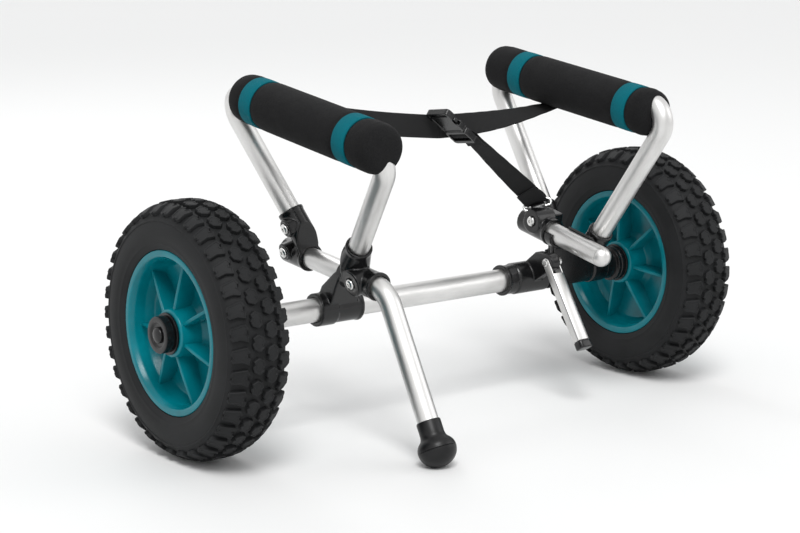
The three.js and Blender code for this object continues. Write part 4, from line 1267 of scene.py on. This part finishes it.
# The lower run: a short tail, over the plug's middle bar, then down, round the ring and back up
OFF_BAR = 2.6
BEFORE_BAR = 4
wire_bar = IN_RIGHT @ in_eye(0, RING_PULL)
bar_along = (IN_RIGHT.to_3x3() @ EYE_ALONG).normalized()
threaded = [
    (35, -3.4), (28, -4.4), (20.5, -4.7), (16.2, -3), (14.7, -0.7), (12.5, 1.5), (7.7, 1.5), (5.9, -0.6),
    (6.4, -3.6), (12, -6.2), (19, -7.3),
]
keys = [(BUCKLE @ Vector((x, 0, z)), buckle_wide) for x, z in threaded]
leaves = BUCKLE @ Vector((27, 0, -7))
run_dir = (wire_bar - leaves).normalized()
outer = bar_along.cross(run_dir).normalized()
meets = wire_bar - run_dir * BEFORE_BAR + outer * OFF_BAR
keys += hung((leaves, buckle_wide), (meets, bar_along), 0.5, 5)
keys += [
    (wire_bar + run_dir * 2.7, bar_along),
    (wire_bar - run_dir * BEFORE_BAR - outer * OFF_BAR, bar_along),
    (wire_bar - run_dir * 24 - outer * 1.2, bar_along),
]
strap("strap_lower", keys)


# Light, floor and camera, in metres. The world shows paler to the camera and in gloss than it lights.
WORLD_STRENGTH = 0.62
FLOOR_HALF = 60.0
LAMPS = (
    ("key", (-1.3, -2.2, 2.6), 20, 1.4),
    ("fill", (2.2, -1.6, 1.5), 9, 1.6),
    ("back", (0.4, 2.4, 2.2), 12, 1.4),
)
AZIMUTH = math.radians(-37.288)
ELEVATION = math.radians(11.299)
DISTANCE = 2.22334
TARGET = AXLE + Vector((-42.25, 0, 32.44)) * MM
SENSOR = 36
PHOTO_WIDTH = 800
FOCAL_PIXELS = 2104.76


def world():
    plain = bpy.data.worlds.new("plain")
    bpy.context.scene.world = plain
    plain.use_nodes = True
    nodes, links = plain.node_tree.nodes, plain.node_tree.links
    light = nodes["Background"]
    light.inputs["Color"].default_value = (0.93, 0.94, 0.95, 1)
    light.inputs["Strength"].default_value = WORLD_STRENGTH
    seen = nodes.new("ShaderNodeBackground")
    seen.inputs["Color"].default_value = (0.93, 0.93, 0.93, 1)
    path = nodes.new("ShaderNodeLightPath")
    both = nodes.new("ShaderNodeMath")
    both.operation = "MAXIMUM"
    links.new(path.outputs["Is Camera Ray"], both.inputs[0])
    links.new(path.outputs["Is Glossy Ray"], both.inputs[1])
    pick = nodes.new("ShaderNodeMixShader")
    for i, source in enumerate((both, light, seen)):
        links.new(source.outputs[0], pick.inputs[i])
    links.new(pick.outputs[0], nodes["World Output"].inputs["Surface"])


def facing(direction):
    return direction.to_track_quat("-Z", "Y").to_euler()


def stage():
    mesh = bpy.data.meshes.new("floor")
    s = FLOOR_HALF
    mesh.from_pydata([(-s, -s, 0), (s, -s, 0), (s, s, 0), (-s, s, 0)], [], [(0, 1, 2, 3)])
    mesh.materials.append(material("floor", (0.86, 0.86, 0.855), 0.7))
    linked("floor", mesh)
    for label, at, power, size in LAMPS:
        lamp = bpy.data.lights.new(label, "AREA")
        lamp.energy = power
        lamp.shape = "DISK"
        lamp.size = size
        ob = linked(label, lamp)
        ob.location = at
        ob.rotation_euler = facing(AXLE - Vector(at))
    sun = bpy.data.lights.new("sun", "SUN")
    sun.energy = 1.5
    sun.angle = math.radians(24)
    linked("sun", sun).rotation_euler = facing(Vector((0.35, 0.5, -1)))


def camera():
    level = math.cos(ELEVATION)
    back = Vector((math.sin(AZIMUTH) * level, -math.cos(AZIMUTH) * level, math.sin(ELEVATION)))
    data = bpy.data.cameras.new("camera")
    data.sensor_width = SENSOR
    data.lens = FOCAL_PIXELS / PHOTO_WIDTH * SENSOR
    ob = linked("camera", data)
    ob.location = TARGET + back * DISTANCE
    ob.rotation_euler = back.to_track_quat("Z", "Y").to_euler()
    bpy.context.scene.camera = ob


world()
stage()
camera()
bpy.context.scene.view_settings.view_transform = "Standard"
